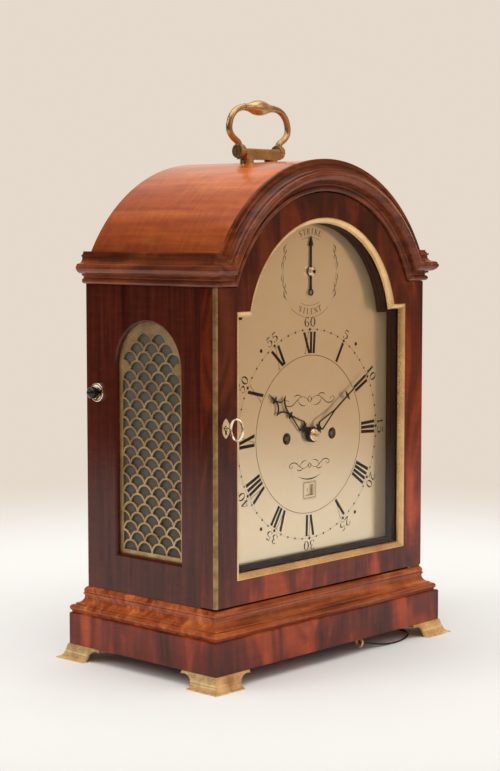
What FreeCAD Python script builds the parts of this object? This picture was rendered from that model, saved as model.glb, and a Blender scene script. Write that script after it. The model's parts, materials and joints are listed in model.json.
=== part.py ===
import FreeCAD, Part
import math
import os
from FreeCAD import Placement, Rotation, Vector

# An arched mahogany table clock with a brass handle, after the photograph.
# Millimetres. The front faces -Y, the right side +X, up is +Z.
# The origin is at floor level, in the middle of the plinth.

SIZE_TABLE = (
    # feet
    ("foot_height", 11.4, "floor to the underside of the plinth"),
    ("foot_toe", 8.0, "how far the toe stands out past the plinth"),
    ("foot_arm", 35.5, "length of each arm of a foot along the plinth"),
    ("foot_wall", 3.0, "thickness of a foot's casting"),
    ("foot_flange", 12.0, "width of the flange under the plinth"),
    ("foot_flange_thickness", 2.0, "thickness of that flange"),
    # plinth, base moulding and floor
    ("plinth_width", 272.0, "left to right"),
    ("plinth_depth", 162.9, "front to back"),
    ("plinth_height", 25.4, "height of the plinth"),
    ("plinth_wall", 30.0, "width of the plinth's rails"),
    ("plinth_chamfer", 0.8, "bevel on the plinth's upper edge"),
    ("base_moulding_height", 20.4, "height of the moulding on the plinth"),
    ("base_moulding_projection", 10.8, "how far it stands out from the case"),
    ("floor_thickness", 14.0, "thickness of the case floor"),
    # case
    ("case_width", 247.4, "outside, across the sides"),
    ("side_thickness", 12.0, "thickness of a side"),
    ("case_setback", 12.2, "plinth front to the face above the door"),
    ("case_back_setback", 9.3, "case back to plinth back"),
    ("front_frame_thickness", 10.0, "thickness of the frame round the dial"),
    ("rear_frame_thickness", 10.0, "thickness of the back frame"),
    ("rear_opening_margin", 20.0, "width of the back frame's stiles"),
    ("rear_sill_height", 16.0, "height of the back frame's sill"),
    ("arch_centre_height", 203.0, "door bottom to the centre of every arch"),
    ("roof_radius", 133.5, "outside of the vaulted roof"),
    ("roof_thickness", 6.0, "thickness of the vault"),
    ("roof_seat_clearance", 0.3, "frames under the vault"),
    ("cornice_height", 25.2, "height of the cornice"),
    ("cornice_projection", 10.8, "how far its nose stands out"),
    ("cornice_gap", 0.7, "door shoulder to the cornice"),
    ("arch_inner_radius", 109.4, "inside of the arch moulding"),
    ("board_clearance", 0.2, "between boards that are slid together"),
    # seat board
    ("seat_height", 14.0, "door bottom to the underside of the seat board"),
    ("seat_thickness", 10.0, "thickness of the seat board"),
    ("seat_depth", 74.0, "front to back"),
    ("seat_front_gap", 0.5, "front frame to the seat board"),
    ("bearer_width", 12.0, "width and height of the seat board's bearers"),
    # front door
    ("door_width", 250.0, "left to right"),
    ("door_thickness", 15.5, "front to back"),
    ("door_proud", 1.3, "door front ahead of the face above it"),
    ("door_shoulder_height", 239.7, "door bottom to its square shoulders"),
    ("door_sill_gap", 1.6, "base moulding to the door"),
    ("door_back_gap", 1.0, "door to the case front"),
    ("door_arch_gap", 0.8, "door arch to the arch moulding"),
    ("door_stile", 23.5, "width of the door's stiles"),
    ("door_rail", 18.6, "width of the bottom rail"),
    ("opening_shoulder_drop", 18.2, "door's shoulders down to the opening's"),
    ("opening_arch_radius", 88.9, "arch of the door's opening"),
    ("bezel_width", 4.3, "brass quadrant round the opening"),
    ("door_pivot_inset", 3.0, "pivot to the door's right edge"),
    ("door_pivot_setback", 2.0, "pivot behind the door's front"),
    ("pivot_radius", 1.2, "radius of every door pivot"),
    ("pivot_length", 6.0, "length of a pivot in the door"),
    ("pivot_plate_length", 16.0, "pivot plate, left to right"),
    ("pivot_plate_width", 10.0, "pivot plate, front to back"),
    ("pivot_plate_gap", 0.1, "pivot plate to the door"),
    ("pivot_plate_edge", 1.8, "pivot to the near edges of its plate"),
    ("pivot_clearance", 0.05, "round a pivot"),
    ("corner_strip_width", 2.7, "brass quadrant on the door's left arris"),
    ("glass_thickness", 2.0, "thickness of the door's glass"),
    ("glass_clearance", 0.3, "round and behind the glass"),
    ("bead_thickness", 5.0, "bead that holds the glass"),
    # mask and dial
    ("mask_half_width", 96.7, "sight edge of the mask"),
    ("mask_bottom_height", 25.7, "door bottom to the sight edge"),
    ("mask_shoulder_drop", 6.9, "opening's shoulders down to the mask's"),
    ("mask_arch_radius", 84.3, "arch of the mask"),
    ("mask_border", 7.0, "width of the mask"),
    ("mask_thickness", 4.0, "thickness of the mask"),
    ("mask_room", 3.9, "round the mask in the back of the door"),
    ("mask_front_gap", 0.8, "ahead of the mask in the back of the door"),
    ("dial_half_width", 99.4, "half the width of the dial plate"),
    ("dial_bottom_height", 20.5, "door bottom to the dial's lower edge"),
    ("dial_shoulder_lap", 4.0, "mask's shoulders up to the dial's"),
    ("dial_arch_radius", 87.6, "arch of the dial"),
    ("dial_thickness", 2.0, "thickness of the dial plate"),
    ("dial_setback", 0.5, "dial face behind the mask"),
    ("dial_fit", 0.3, "dial edge to the front frame"),
    ("dial_centre_height", 120.1, "door bottom to the hands' centre"),
    ("dial_foot_x", 57.2, "dial feet, from the middle"),
    ("dial_foot_drop", 69.4, "dial feet, above and below the hands' centre"),
    ("dial_foot_radius", 2.5, "radius of a dial foot"),
    ("dial_rivet_radius", 1.2, "end of a dial foot in the dial"),
    ("winding_x", 27.5, "winding squares, from the middle"),
    ("winding_drop", 1.4, "winding squares below the hands' centre"),
    ("winding_hole_radius", 3.6, "hole in the dial round a square"),
    ("winding_square", 3.5, "across the flats of a winding square"),
    ("square_inset", 0.4, "dial face to the squares' ends"),
    ("date_drop", 44.8, "hands' centre down to the date"),
    ("date_window_width", 10.0, "width of the date opening"),
    ("date_window_height", 9.0, "height of the date opening"),
    ("date_disc_radius", 30.0, "radius of the date disc"),
    ("date_disc_thickness", 0.8, "thickness of the date disc"),
    ("date_disc_gap", 0.4, "dial to the date disc"),
    ("date_number_radius", 22.0, "date disc centre to its numbers"),
    ("date_stud_radius", 2.0, "stud that the date disc turns on"),
    ("strike_centre_height", 249.7, "door bottom to the small hand"),
    ("strike_hand_length", 28.0, "small hand, centre to tip"),
    ("strike_tail_length", 19.2, "small hand, centre to ring"),
    ("strike_ring_radius", 2.7, "ring at the tail of the small hand"),
    ("strike_boss_radius", 3.7, "boss of the small hand"),
    ("strike_collet_height", 3.0, "height of the small hand's collet"),
    ("strike_arbor_radius", 1.6, "arbor of the small hand"),
    ("strike_arbor_length", 6.0, "arbor behind the dial"),
    ("strike_hand_bar", 1.4, "width of the small hand's bar"),
    ("strike_hand_head", 5.2, "width of its arrow head"),
    ("strike_lever", 14.0, "lever behind the dial"),
    ("hand_thickness", 0.8, "thickness of every hand"),
    ("hand_gap", 1.2, "between dial, hour hand and minute hand"),
    ("hour_hand_length", 61.5, "centre to tip"),
    ("hour_hand_width", 18.4, "widest part of the hour hand"),
    ("minute_hand_length", 90.5, "centre to tip"),
    ("minute_hand_width", 9.6, "widest part of the minute hand"),
    ("hand_boss_radius", 6.2, "boss of both hands"),
    ("collet_radius", 5.1, "collet on the minute hand"),
    ("collet_height", 2.2, "height of the collet"),
    ("arbor_tip_length", 2.0, "arbor ahead of the collet"),
    ("hour_pipe_radius", 3.6, "outside of the hour pipe"),
    ("cannon_radius", 2.5, "outside of the cannon pipe"),
    ("running_clearance", 0.1, "arbors and pipes in their holes"),
    # lock and key
    ("lock_x", 114.0, "keyhole, left of the middle"),
    ("lock_height", 135.3, "door bottom to the keyhole"),
    ("escutcheon_width", 8.3, "across the escutcheon"),
    ("escutcheon_height", 15.2, "height of the escutcheon"),
    ("escutcheon_thickness", 1.2, "thickness of the escutcheon"),
    ("escutcheon_proud", 0.3, "escutcheon ahead of the door"),
    ("keyhole_radius", 2.0, "round part of the keyhole"),
    ("keyhole_slot_width", 1.8, "width of the keyhole's slot"),
    ("keyhole_slot_height", 4.6, "keyhole centre to the end of its slot"),
    ("key_shank_radius", 1.5, "radius of the key's shank"),
    ("key_shank_front", 4.0, "shank ahead of the door"),
    ("key_shank_back", 9.9, "shank behind the door's front"),
    ("key_bow_height", 18.0, "bow of the key, across the shank"),
    ("key_bow_length", 14.4, "bow of the key, along the shank"),
    ("key_bow_wire", 1.1, "radius of the bow's wire"),
    ("key_collar_radius", 2.3, "collar of the key"),
    ("key_collar_length", 1.2, "length of the collar"),
    ("key_bit_reach", 4.2, "shank axis to the end of the bit"),
    ("key_bit_width", 2.4, "bit, along the shank"),
    ("key_bit_thickness", 1.2, "thickness of the bit"),
    ("lock_case_width", 12.6, "lock case, left to right"),
    ("lock_case_height", 30.0, "height of the lock case"),
    ("lock_case_setback", 5.0, "lock case behind the door's front"),
    ("lock_plate", 2.0, "front and back plate of the lock case"),
    ("lock_chamber_radius", 5.2, "room for the key's bit"),
    ("lock_chamber_depth", 3.4, "room for the bit, along the shank"),
    ("bolt_thickness", 2.4, "lock bolt, front to back"),
    ("bolt_height", 7.0, "height of the lock bolt"),
    ("bolt_length", 7.0, "lock bolt, left to right"),
    ("bolt_travel", 3.0, "how far the bolt slides"),
    ("bolt_clearance", 0.3, "round the bolt"),
    ("bolt_swing", 0.8, "room for the hook as the door swings"),
    ("bolt_neck", 4.0, "neck of the bolt that enters the case"),
    ("bolt_reach", 6.5, "neck behind the door"),
    ("bolt_hook", 3.0, "hook at the end of the neck"),
    ("bolt_hook_thickness", 2.5, "thickness of the hook"),
    ("bolt_lip", 2.5, "wood that the hook catches behind"),
    # side frets
    ("fret_setback", 73.5, "door front to the middle of the fret"),
    ("fret_bottom_height", 29.3, "door bottom to the fret opening"),
    ("fret_half_width", 35.6, "half the width of the fret opening"),
    ("fret_spring_height", 176.5, "door bottom to the fret's arch centre"),
    ("fret_reveal", 4.0, "depth of the opening ahead of the fret"),
    ("fret_edge_round", 1.8, "rounded edge of the opening"),
    ("fret_seat", 5.0, "how far the fret laps the opening"),
    ("fret_thickness", 1.5, "thickness of the fret"),
    ("fret_rim", 3.6, "plain rim round the pattern"),
    ("fret_pitch", 16.0, "scales, centre to centre"),
    ("fret_row", 7.4, "rows of scales, one above the other"),
    ("fret_web", 1.5, "width of the bars"),
    ("fret_fit", 0.3, "fret edge to its seat"),
    ("cloth_thickness", 1.0, "cloth behind the fret"),
    # pull repeat at the left side
    ("repeat_setback", 129.2, "door front to the pull"),
    ("repeat_height", 155.1, "door bottom to the pull"),
    ("ferrule_radius", 7.5, "outside of the ferrule"),
    ("ferrule_proud", 2.4, "ferrule outside the case"),
    ("ferrule_dish", 1.4, "depth of the ferrule's dish"),
    ("ferrule_pipe_radius", 3.4, "pipe of the ferrule in the side"),
    ("toggle_radius", 4.8, "round pull on the line"),
    ("toggle_gap", 0.4, "pull to the ferrule's dish"),
    ("repeat_line_radius", 1.1, "line that the pull hangs on"),
    ("repeat_line_inside", 26.0, "line inside the side"),
    ("repeat_bead_radius", 2.4, "knot at the inner end"),
    # handle
    ("handle_rise", 8.5, "roof top to the handle's pivots"),
    ("handle_bar_half_length", 20.0, "half the length of the bar"),
    ("handle_bar_depth", 11.0, "bar, front to back"),
    ("handle_bar_height", 8.6, "height of the bar"),
    ("handle_bar_round", 2.0, "rounding of the bar's upper edges"),
    ("handle_bar_lift", 2.2, "roof top to the bar"),
    ("handle_foot_radius", 5.6, "round foot under each end"),
    ("handle_foot_x", 14.4, "feet, from the middle"),
    ("handle_stud_radius", 2.2, "studs through the roof"),
    ("handle_stud_length", 15.0, "length of a stud"),
    ("handle_stud_bite", 2.0, "studs in the bar"),
    ("handle_nut_radius", 5.0, "nuts inside the roof"),
    ("handle_nut_height", 3.0, "height of a nut"),
    ("handle_eye_radius", 5.6, "eyes of the bail"),
    ("handle_eye_width", 5.4, "eyes, left to right"),
    ("handle_eye_gap", 0.3, "eye to the bar"),
    ("handle_pin_radius", 1.8, "screws through the eyes"),
    ("handle_pin_head", 3.6, "radius of a screw's head"),
    ("handle_pin_head_depth", 1.6, "height of a screw's head"),
    ("handle_pin_bite", 8.0, "screw in the bar"),
    ("handle_slot_width", 0.9, "slot of a screw"),
    ("handle_half_width", 35.0, "middle line of the bail, from the middle"),
    ("handle_reach", 35.0, "pivots to the middle line of the grip"),
    ("handle_grip_radius", 6.1, "grip, at its thickest"),
    ("handle_limb_radius", 2.6, "bail beside the grip"),
    # movement
    ("plate_gap", 14.0, "dial back to the front plate"),
    ("plate_half_width", 70.0, "half the width of a plate"),
    ("plate_height", 172.0, "height of a plate"),
    ("plate_thickness", 3.0, "thickness of a plate"),
    ("plate_spacing", 62.0, "between the plates"),
    ("pillar_radius", 4.5, "radius of a pillar"),
    ("pillar_inset", 9.0, "plate edge to a pillar"),
    ("arbor_radius", 2.5, "fusee and barrel arbors"),
    ("arbor_clearance", 0.1, "round every arbor"),
    ("wheel_thickness", 2.4, "great wheels"),
    ("train_wheel_thickness", 1.6, "all other wheels"),
    ("mesh_clearance", 0.3, "tooth tips to their neighbour"),
    ("end_shake", 4.0, "front plate to the great wheels"),
    ("fusee_large_radius", 19.0, "fusee beside its wheel"),
    ("fusee_small_radius", 10.0, "fusee at its far end"),
    ("fusee_length", 33.0, "length of the fusee's cone"),
    ("fusee_groove", 0.8, "depth of the fusee's groove"),
    ("barrel_radius", 22.0, "spring barrels"),
    ("barrel_length", 34.0, "length of a barrel"),
    ("barrel_cap", 1.4, "rim at each end of a barrel"),
    ("barrel_x", 36.0, "barrels, from the middle"),
    ("barrel_drop", 58.0, "barrels below the hands' centre"),
    ("centre_wheel_radius", 19.0, "centre wheel"),
    ("centre_arbor_radius", 1.5, "arbor of the hands"),
    ("third_wheel_radius", 15.0, "third wheel"),
    ("third_x", 9.0, "third arbor, from the middle"),
    ("escape_wheel_radius", 12.0, "escape wheel"),
    ("train_arbor_radius", 1.2, "arbors of the small wheels"),
    ("pinion_length", 5.0, "length of a pinion"),
    ("pallet_rise", 18.0, "pallet arbor above the escape arbor"),
    ("pallet_clearance", 1.4, "escape wheel to the pallets"),
    ("pallet_thickness", 3.0, "radial thickness of the pallets"),
    ("pallet_half_span", 52.0, "half angle that the pallets span"),
    ("pendulum_length", 140.0, "pallet arbor to the bob"),
    ("pendulum_rod_radius", 1.2, "radius of the pendulum's rod"),
    ("pendulum_gap", 7.0, "back plate to the rod"),
    ("bob_radius", 18.0, "radius of the bob"),
    ("bob_thickness", 8.0, "thickness of the bob"),
    ("rating_nut_radius", 3.5, "nut under the bob"),
    ("rating_nut_height", 4.0, "height of that nut"),
    ("pendulum_rod_end", 4.0, "rod below the nut"),
    ("cock_width", 16.0, "bracket behind the back plate"),
    ("cock_height", 20.0, "height of that bracket"),
    ("cock_reach", 13.0, "how far it stands out"),
    ("cock_thickness", 2.5, "thickness of its face"),
    ("motion_distance", 24.0, "hands' arbor to that wheel"),
    ("motion_stud_radius", 1.8, "stud that it turns on"),
    ("motion_wheel_gap", 4.0, "front plate to the motion wheels"),
    ("hour_wheel_gap", 3.0, "dial back to the hour wheel"),
    ("bell_radius", 38.0, "mouth of the bell"),
    ("bell_height", 30.0, "height of the bell"),
    ("bell_wall", 2.2, "thickness of the bell"),
    ("bell_gap", 1.5, "rim of the bell to its stand"),
    ("bell_rise", 18.0, "plates to the mouth of the bell"),
    ("bell_stand_width", 10.0, "width of the bell's stand"),
    ("bell_stand_thickness", 3.0, "thickness of the stand"),
    ("bell_nut_radius", 4.0, "nut above the bell"),
    ("bell_nut_height", 4.0, "height of that nut"),
    ("bell_lap", 12.0, "stand on the back plate"),
    ("hammer_x", 40.0, "hammer arbor, left of the middle"),
    ("hammer_rise", 45.0, "hammer arbor above the hands' centre"),
    ("hammer_head_radius", 4.0, "radius of the hammer's head"),
    ("hammer_head_length", 9.0, "length of the hammer's head"),
    ("hammer_gap", 1.2, "hammer to the bell at rest"),
    ("hammer_arm_radius", 1.4, "radius of the hammer's arm"),
    ("hammer_tail_gap", 0.5, "hammer tail to the lifting pins"),
    ("lifting_pin_radius", 0.8, "lifting pins on the striking side's great wheel"),
    ("lifting_pin_length", 2.6, "length of a lifting pin"),
    ("lifting_pin_inset", 2.6, "wheel's rim to the lifting pins"),
    # back door
    ("rear_door_gap", 0.8, "round the back door"),
    ("rear_door_thickness", 9.0, "thickness of the back door"),
    ("rear_door_stile", 17.0, "width of its stiles"),
    ("rear_glass_thickness", 2.0, "thickness of its glass"),
    ("rear_glass_setback", 3.0, "glass behind the door's outer face"),
    ("rear_glass_lap", 3.0, "how far the glass laps the stiles"),
    ("rear_pivot_inset", 4.0, "pivot to the door's edge"),
    ("rear_pivot_setback", 2.0, "pivot behind the back door's outer face"),
    ("rear_relief_low", 10.0, "arch centre to the hollow round the top pivot"),
    ("rear_relief_high", 36.0, "arch centre to the hollow's end"),
    ("rear_knob_radius", 5.5, "turn knob of the back door"),
    ("rear_knob_length", 9.0, "knob outside the door"),
    ("rear_knob_height", 130.0, "door bottom to the knob"),
    ("rear_latch_length", 11.0, "latch behind the back door"),
    ("rear_latch_width", 6.0, "width of the latch"),
    ("rear_latch_thickness", 1.6, "thickness of the latch"),
    ("rear_spindle_radius", 2.0, "spindle of the knob"),
    # line under the base
    ("base_ring_radius", 3.2, "ring under the front rail"),
    ("base_ring_wire", 1.1, "radius of its wire"),
    ("base_ring_x", 38.0, "ring, right of the middle"),
    ("base_ring_setback", 6.0, "plinth front to the ring"),
    ("base_ring_shank", 7.0, "shank of the ring in the plinth"),
    ("line_radius", 0.7, "radius of the line"),
    ("line_reach_right", 81.0, "ring to the farthest bend on the right"),
    ("line_reach_back", 55.0, "ring to where the line goes up"),
    # every cut
    ("overrun", 1.0, "how far a cutter passes a face"),
)

MINUTE_HAND_ANGLE = 56.5
HOUR_HAND_ANGLE = -54.9
FULL_TURN = 360.0
SAME_POINT = 1e-7

doc = FreeCAD.newDocument("TableClock")
sheet = doc.addObject("Spreadsheet::Sheet", "Sizes")


class Size:
    """A length that carries its value and the sheet expression that gives it."""

    def __init__(self, value, text):
        self.value = value
        self.text = text

    def __float__(self):
        return float(self.value)

    def __add__(self, other):
        other = as_size(other)
        return Size(self.value + other.value, "(%s + %s)" % (self.text, other.text))

    def __radd__(self, other):
        return as_size(other) + self

    def __sub__(self, other):
        other = as_size(other)
        return Size(self.value - other.value, "(%s - %s)" % (self.text, other.text))

    def __rsub__(self, other):
        return as_size(other) - self

    def __mul__(self, factor):
        return Size(self.value * float(factor), "(%s * %.9g)" % (self.text, float(factor)))

    __rmul__ = __mul__

    def __truediv__(self, factor):
        return Size(self.value / float(factor), "(%s / %.9g)" % (self.text, float(factor)))

    def __neg__(self):
        return Size(-self.value, "(-%s)" % self.text)


def as_size(number):
    if isinstance(number, Size):
        return number
    return Size(float(number), "%.9g" % number)


class Sizes:
    """The sheet's cells by their aliases."""

    def __init__(self, table):
        for row, (alias, value, note) in enumerate(table, start=1):
            sheet.set("A%d" % row, alias)
            sheet.set("B%d" % row, "%.9g" % value)
            sheet.set("C%d" % row, note)
            sheet.setAlias("B%d" % row, alias)
            setattr(self, alias, Size(value, "Sizes.%s" % alias))


of = Sizes(SIZE_TABLE)
doc.recompute()

# Levels and planes that several pieces share
plinth_bottom = of.foot_height
plinth_top = plinth_bottom + of.plinth_height
moulding_top = plinth_top + of.base_moulding_height
door_bottom = moulding_top + of.door_sill_gap
door_shoulder = door_bottom + of.door_shoulder_height
opening_shoulder = door_shoulder - of.opening_shoulder_drop
mask_shoulder = opening_shoulder - of.mask_shoulder_drop
dial_shoulder = mask_shoulder + of.dial_shoulder_lap
cornice_bottom = door_shoulder + of.cornice_gap
cornice_top = cornice_bottom + of.cornice_height
arch_centre = door_bottom + of.arch_centre_height
roof_top = arch_centre + of.roof_radius
plinth_front = -of.plinth_depth / 2
plinth_back = of.plinth_depth / 2
case_face = plinth_front + of.case_setback
door_front = case_face - of.door_proud
door_back = door_front + of.door_thickness
case_front = door_back + of.door_back_gap
case_back = plinth_back - of.case_back_setback
case_middle = (door_front + case_back) / 2
side_outer = of.case_width / 2
side_inner = side_outer - of.side_thickness
mask_back = case_front
mask_front = mask_back - of.mask_thickness
dial_front = mask_back + of.dial_setback
dial_back = dial_front + of.dial_thickness
hands_height = door_bottom + of.dial_centre_height
winding_height = hands_height - of.winding_drop
seat_top = door_bottom + of.seat_height + of.seat_thickness
front_plate_front = dial_back + of.plate_gap
front_plate_back = front_plate_front + of.plate_thickness
back_plate_front = front_plate_back + of.plate_spacing
back_plate_back = back_plate_front + of.plate_thickness
plate_bottom = seat_top
plate_top = plate_bottom + of.plate_height
vault_inner_radius = of.roof_radius - of.roof_thickness
fret_middle = door_front + of.fret_setback
repeat_y = door_front + of.repeat_setback
repeat_z = door_bottom + of.repeat_height
lock_level = door_bottom + of.lock_height
door_pivot_x = of.door_width / 2 - of.door_pivot_inset
door_pivot_y = door_front + of.door_pivot_setback
rear_half_width = side_inner - of.rear_opening_margin
rear_sill = door_bottom + of.rear_sill_height
rear_pivot_x = rear_half_width - of.rear_door_gap - of.rear_pivot_inset
rear_pivot_y = case_back - of.rear_pivot_setback
rear_frame_front = case_back - of.rear_frame_thickness
handle_pivot_z = roof_top + of.handle_rise


# Helpers

def bind(thing, prop, amount):
    thing.setExpression(prop, as_size(amount).text)


def place(thing, at, rotation=None):
    """Placement with its base bound to sheet sizes."""
    rotation = rotation or Rotation()
    thing.Placement = Placement(Vector(*[float(value) for value in at]), rotation)
    for axis, value in zip("xyz", at):
        if isinstance(value, Size):
            thing.setExpression(".Placement.Base.%s" % axis, value.text)
    return thing


FACING = {
    "front": Rotation(Vector(1, 0, 0), 90),
    "side": Rotation(Vector(1, 1, 1), 120),
    "flat": Rotation(),
}
ALONG = {
    "x": Rotation(Vector(0, 0, 1), -90),
    "y": Rotation(),
    "z": Rotation(Vector(1, 0, 0), 90),
}
CYLINDER_ALONG = {
    "x": Rotation(Vector(0, 1, 0), 90),
    "y": Rotation(Vector(1, 0, 0), -90),
    "z": Rotation(),
}


def box(name, lengths, at):
    """Block with its lowest corner at a point."""
    block = doc.addObject("Part::Box", name)
    for prop, amount in zip(("Length", "Width", "Height"), lengths):
        bind(block, prop, amount)
    return place(block, at)


def rod(name, radius, length, at, along):
    """Cylinder that starts at a point and runs along an axis."""
    cylinder = doc.addObject("Part::Cylinder", name)
    bind(cylinder, "Radius", radius)
    bind(cylinder, "Height", length)
    return place(cylinder, at, CYLINDER_ALONG[along])


def curve_list(start, *steps):
    """Closed outline: a step is a point, or a pair (middle, end) for an arc."""
    def point(pair):
        return Vector(float(pair[0]), float(pair[1]), 0)
    curves = []
    here = point(start)
    for step in steps + (start,):
        if isinstance(step[0], tuple):
            there = point(step[1])
            curves.append(Part.Arc(here, point(step[0]), there))
        else:
            there = point(step)
            if (there - here).Length > SAME_POINT:
                curves.append(Part.LineSegment(here, there))
        here = there
    return curves


def circle_list(radius, centre=(0, 0)):
    return [Part.Circle(Vector(float(centre[0]), float(centre[1]), 0), Vector(0, 0, 1), float(radius))]


def origin_plane(body, role):
    for feature in body.Origin.OriginFeatures:
        if feature.Role == role:
            return feature
    raise RuntimeError("no plane " + role)


def sketched(name, outlines):
    """Body with one sketch of closed outlines on its XY plane."""
    body = doc.addObject("PartDesign::Body", name)
    sketch = body.newObject("Sketcher::SketchObject", name + "Sketch")
    sketch.AttachmentSupport = (origin_plane(body, "XY_Plane"), [""])
    sketch.MapMode = "FlatFace"
    for curves in outlines:
        sketch.addGeometry(curves, False)
    return body, sketch


def plate(name, outlines, thickness, at, facing):
    """Flat piece: outlines in its own plane, the thickness behind that plane.

    A piece that faces the front runs back from its y, one that faces the side runs
    to +X from its x, and one that lies flat runs up from its z.
    """
    body, sketch = sketched(name, outlines)
    pad = body.newObject("PartDesign::Pad", name + "Pad")
    pad.Profile = sketch
    bind(pad, "Length", thickness)
    body.Tip = pad
    if facing == "front":
        at = (at[0], at[1] + thickness, at[2])
    return place(body, at, FACING[facing])


def turned(name, outline, at, along):
    """Turned piece: the outline's first number is a radius, its second runs along the axis."""
    body, sketch = sketched(name, [outline])
    revolution = body.newObject("PartDesign::Revolution", name + "Turn")
    revolution.Profile = sketch
    revolution.ReferenceAxis = (sketch, ["V_Axis"])
    revolution.Angle = FULL_TURN
    body.Tip = revolution
    return place(body, at, ALONG[along])


def shaped(name, shape, at=(0, 0, 0)):
    """Piece whose shape is made directly from the sheet's values."""
    feature = doc.addObject("Part::Feature", name)
    feature.Shape = shape
    return place(feature, at)


def joined(name, pieces):
    fuse = doc.addObject("Part::MultiFuse", name)
    fuse.Shapes = pieces
    return fuse


def cut(name, base, tools):
    """The base less every tool."""
    tool = tools[0] if len(tools) == 1 else joined(name + "Tools", tools)
    result = doc.addObject("Part::Cut", name)
    result.Base = base
    result.Tool = tool
    return result


def together(name, pieces):
    """Separate solids that make one node."""
    group = doc.addObject("Part::Compound", name)
    group.Links = pieces
    return group


NODES = {}


def node(label, thing):
    thing.Label = label
    NODES[label] = thing
    return thing


def arched(half_width, bottom, shoulder, radius, centre, from_middle=False):
    """Outline with square shoulders and a round arch; it can start in the middle of its foot."""
    half_width, bottom, shoulder = float(half_width), float(bottom), float(shoulder)
    radius, centre = float(radius), float(centre)
    foot = math.sqrt(radius ** 2 - (shoulder - centre) ** 2)
    steps = [(-half_width, bottom), (half_width, bottom), (half_width, shoulder), (foot, shoulder),
             ((0, centre + radius), (-foot, shoulder)), (-half_width, shoulder)]
    if from_middle:
        steps = [(0, bottom)] + steps[1:] + steps[:1]
    return curve_list(*steps)


def round_topped(half_width, bottom, centre, middle=0.0):
    """Outline with straight sides and a half-round top."""
    half_width, bottom, centre, middle = map(float, (half_width, bottom, centre, middle))
    left = middle - half_width
    right = middle + half_width
    return curve_list((left, bottom), (right, bottom), (right, centre),
                      ((middle, centre + half_width), (left, centre)))


def vaulted(half_width, bottom, radius, centre):
    """Outline with straight sides cut off by the vault's circle."""
    half_width, bottom, radius, centre = map(float, (half_width, bottom, radius, centre))
    spring = centre + math.sqrt(radius ** 2 - half_width ** 2)
    return curve_list((-half_width, bottom), (half_width, bottom), (half_width, spring),
                      ((0, centre + radius), (-half_width, spring)))


# Half widths of a tooth at its foot and at its tip, as shares of the tooth pitch.
TOOTH_FOOT_SHARE = 0.35
TOOTH_TIP_SHARE = 0.15


def toothed(teeth, radius, depth_share):
    """Outline of a toothed wheel whose tips lie on the radius."""
    points = []
    tip = float(radius)
    root = tip * (1 - depth_share)
    pitch = 2 * math.pi / teeth
    corners = ((-TOOTH_FOOT_SHARE, root), (-TOOTH_TIP_SHARE, tip),
               (TOOTH_TIP_SHARE, tip), (TOOTH_FOOT_SHARE, root))
    for tooth in range(teeth):
        for offset, reach in corners:
            angle = (tooth + offset) * pitch
            points.append((reach * math.cos(angle), reach * math.sin(angle)))
    return curve_list(*points)


def share_outline(shares, width, height, out=1):
    """Outline from shares of a width and a height."""
    def scaled(pair):
        return (out * pair[0] * float(width), pair[1] * float(height))
    steps = []
    for step in shares:
        if isinstance(step[0], tuple):
            steps.append((scaled(step[0]), scaled(step[1])))
        else:
            steps.append(scaled(step))
    return curve_list(*steps)


def wire_at(curves, origin, across, up):
    """The curves as a wire, with their plane's axes turned to two directions."""
    normal = across.cross(up)
    matrix = FreeCAD.Matrix(across.x, up.x, normal.x, origin.x,
                            across.y, up.y, normal.y, origin.y,
                            across.z, up.z, normal.z, origin.z, 0, 0, 0, 1)
    wire = Part.Wire([curve.toShape() for curve in curves])
    wire.transformShape(matrix)
    return wire


def mitred(path, profile):
    """Solid that runs the profile along a path with mitred corners."""
    return path.makePipeShell([profile], True, False, 1)


BEND_SHARE = 0.45


def bent_path(points):
    """Straight runs joined by tangent arcs, and the radii of the arcs."""
    edges = []
    radii = []
    here = points[0]
    for before, corner, after in zip(points, points[1:], points[2:]):
        back = before - corner
        ahead = after - corner
        tangent = BEND_SHARE * min(back.Length, ahead.Length)
        turn = math.pi - back.getAngle(ahead)
        back.normalize()
        ahead.normalize()
        start = corner + back * tangent
        end = corner + ahead * tangent
        radius = tangent / math.tan(turn / 2)
        bisector = back + ahead
        bisector.normalize()
        middle = corner + bisector * (math.hypot(radius, tangent) - radius)
        edges.append(Part.LineSegment(here, start).toShape())
        edges.append(Part.Arc(start, middle, end).toShape())
        radii.append(radius)
        here = end
    edges.append(Part.LineSegment(here, points[-1]).toShape())
    return Part.Wire(edges), radii


def round_run(points, radius):
    """Round rod along the bent path through the points."""
    path, radii = bent_path(points)
    section = Part.Wire([Part.Circle(points[0], points[1] - points[0], float(radius)).toShape()])
    return path.makePipeShell([section], True, True), path.Length, radii


# Feet

FOOT_SHARES = (
    (0.10, 1.00),
    ((0.20, 0.80), (0.28, 0.56)),
    (0.36, 0.53),
    ((0.52, 0.22), (1.00, 0.07)),
    (1.00, 0.00),
    (0.50, 0.00),
    ((0.22, 0.14), (0.06, 0.44)),
    (-0.08, 0.70),
)
FOOT_END_SHARES = ((1.00, 0.80), (0.74, 0.66), (0.65, 0.00))


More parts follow.
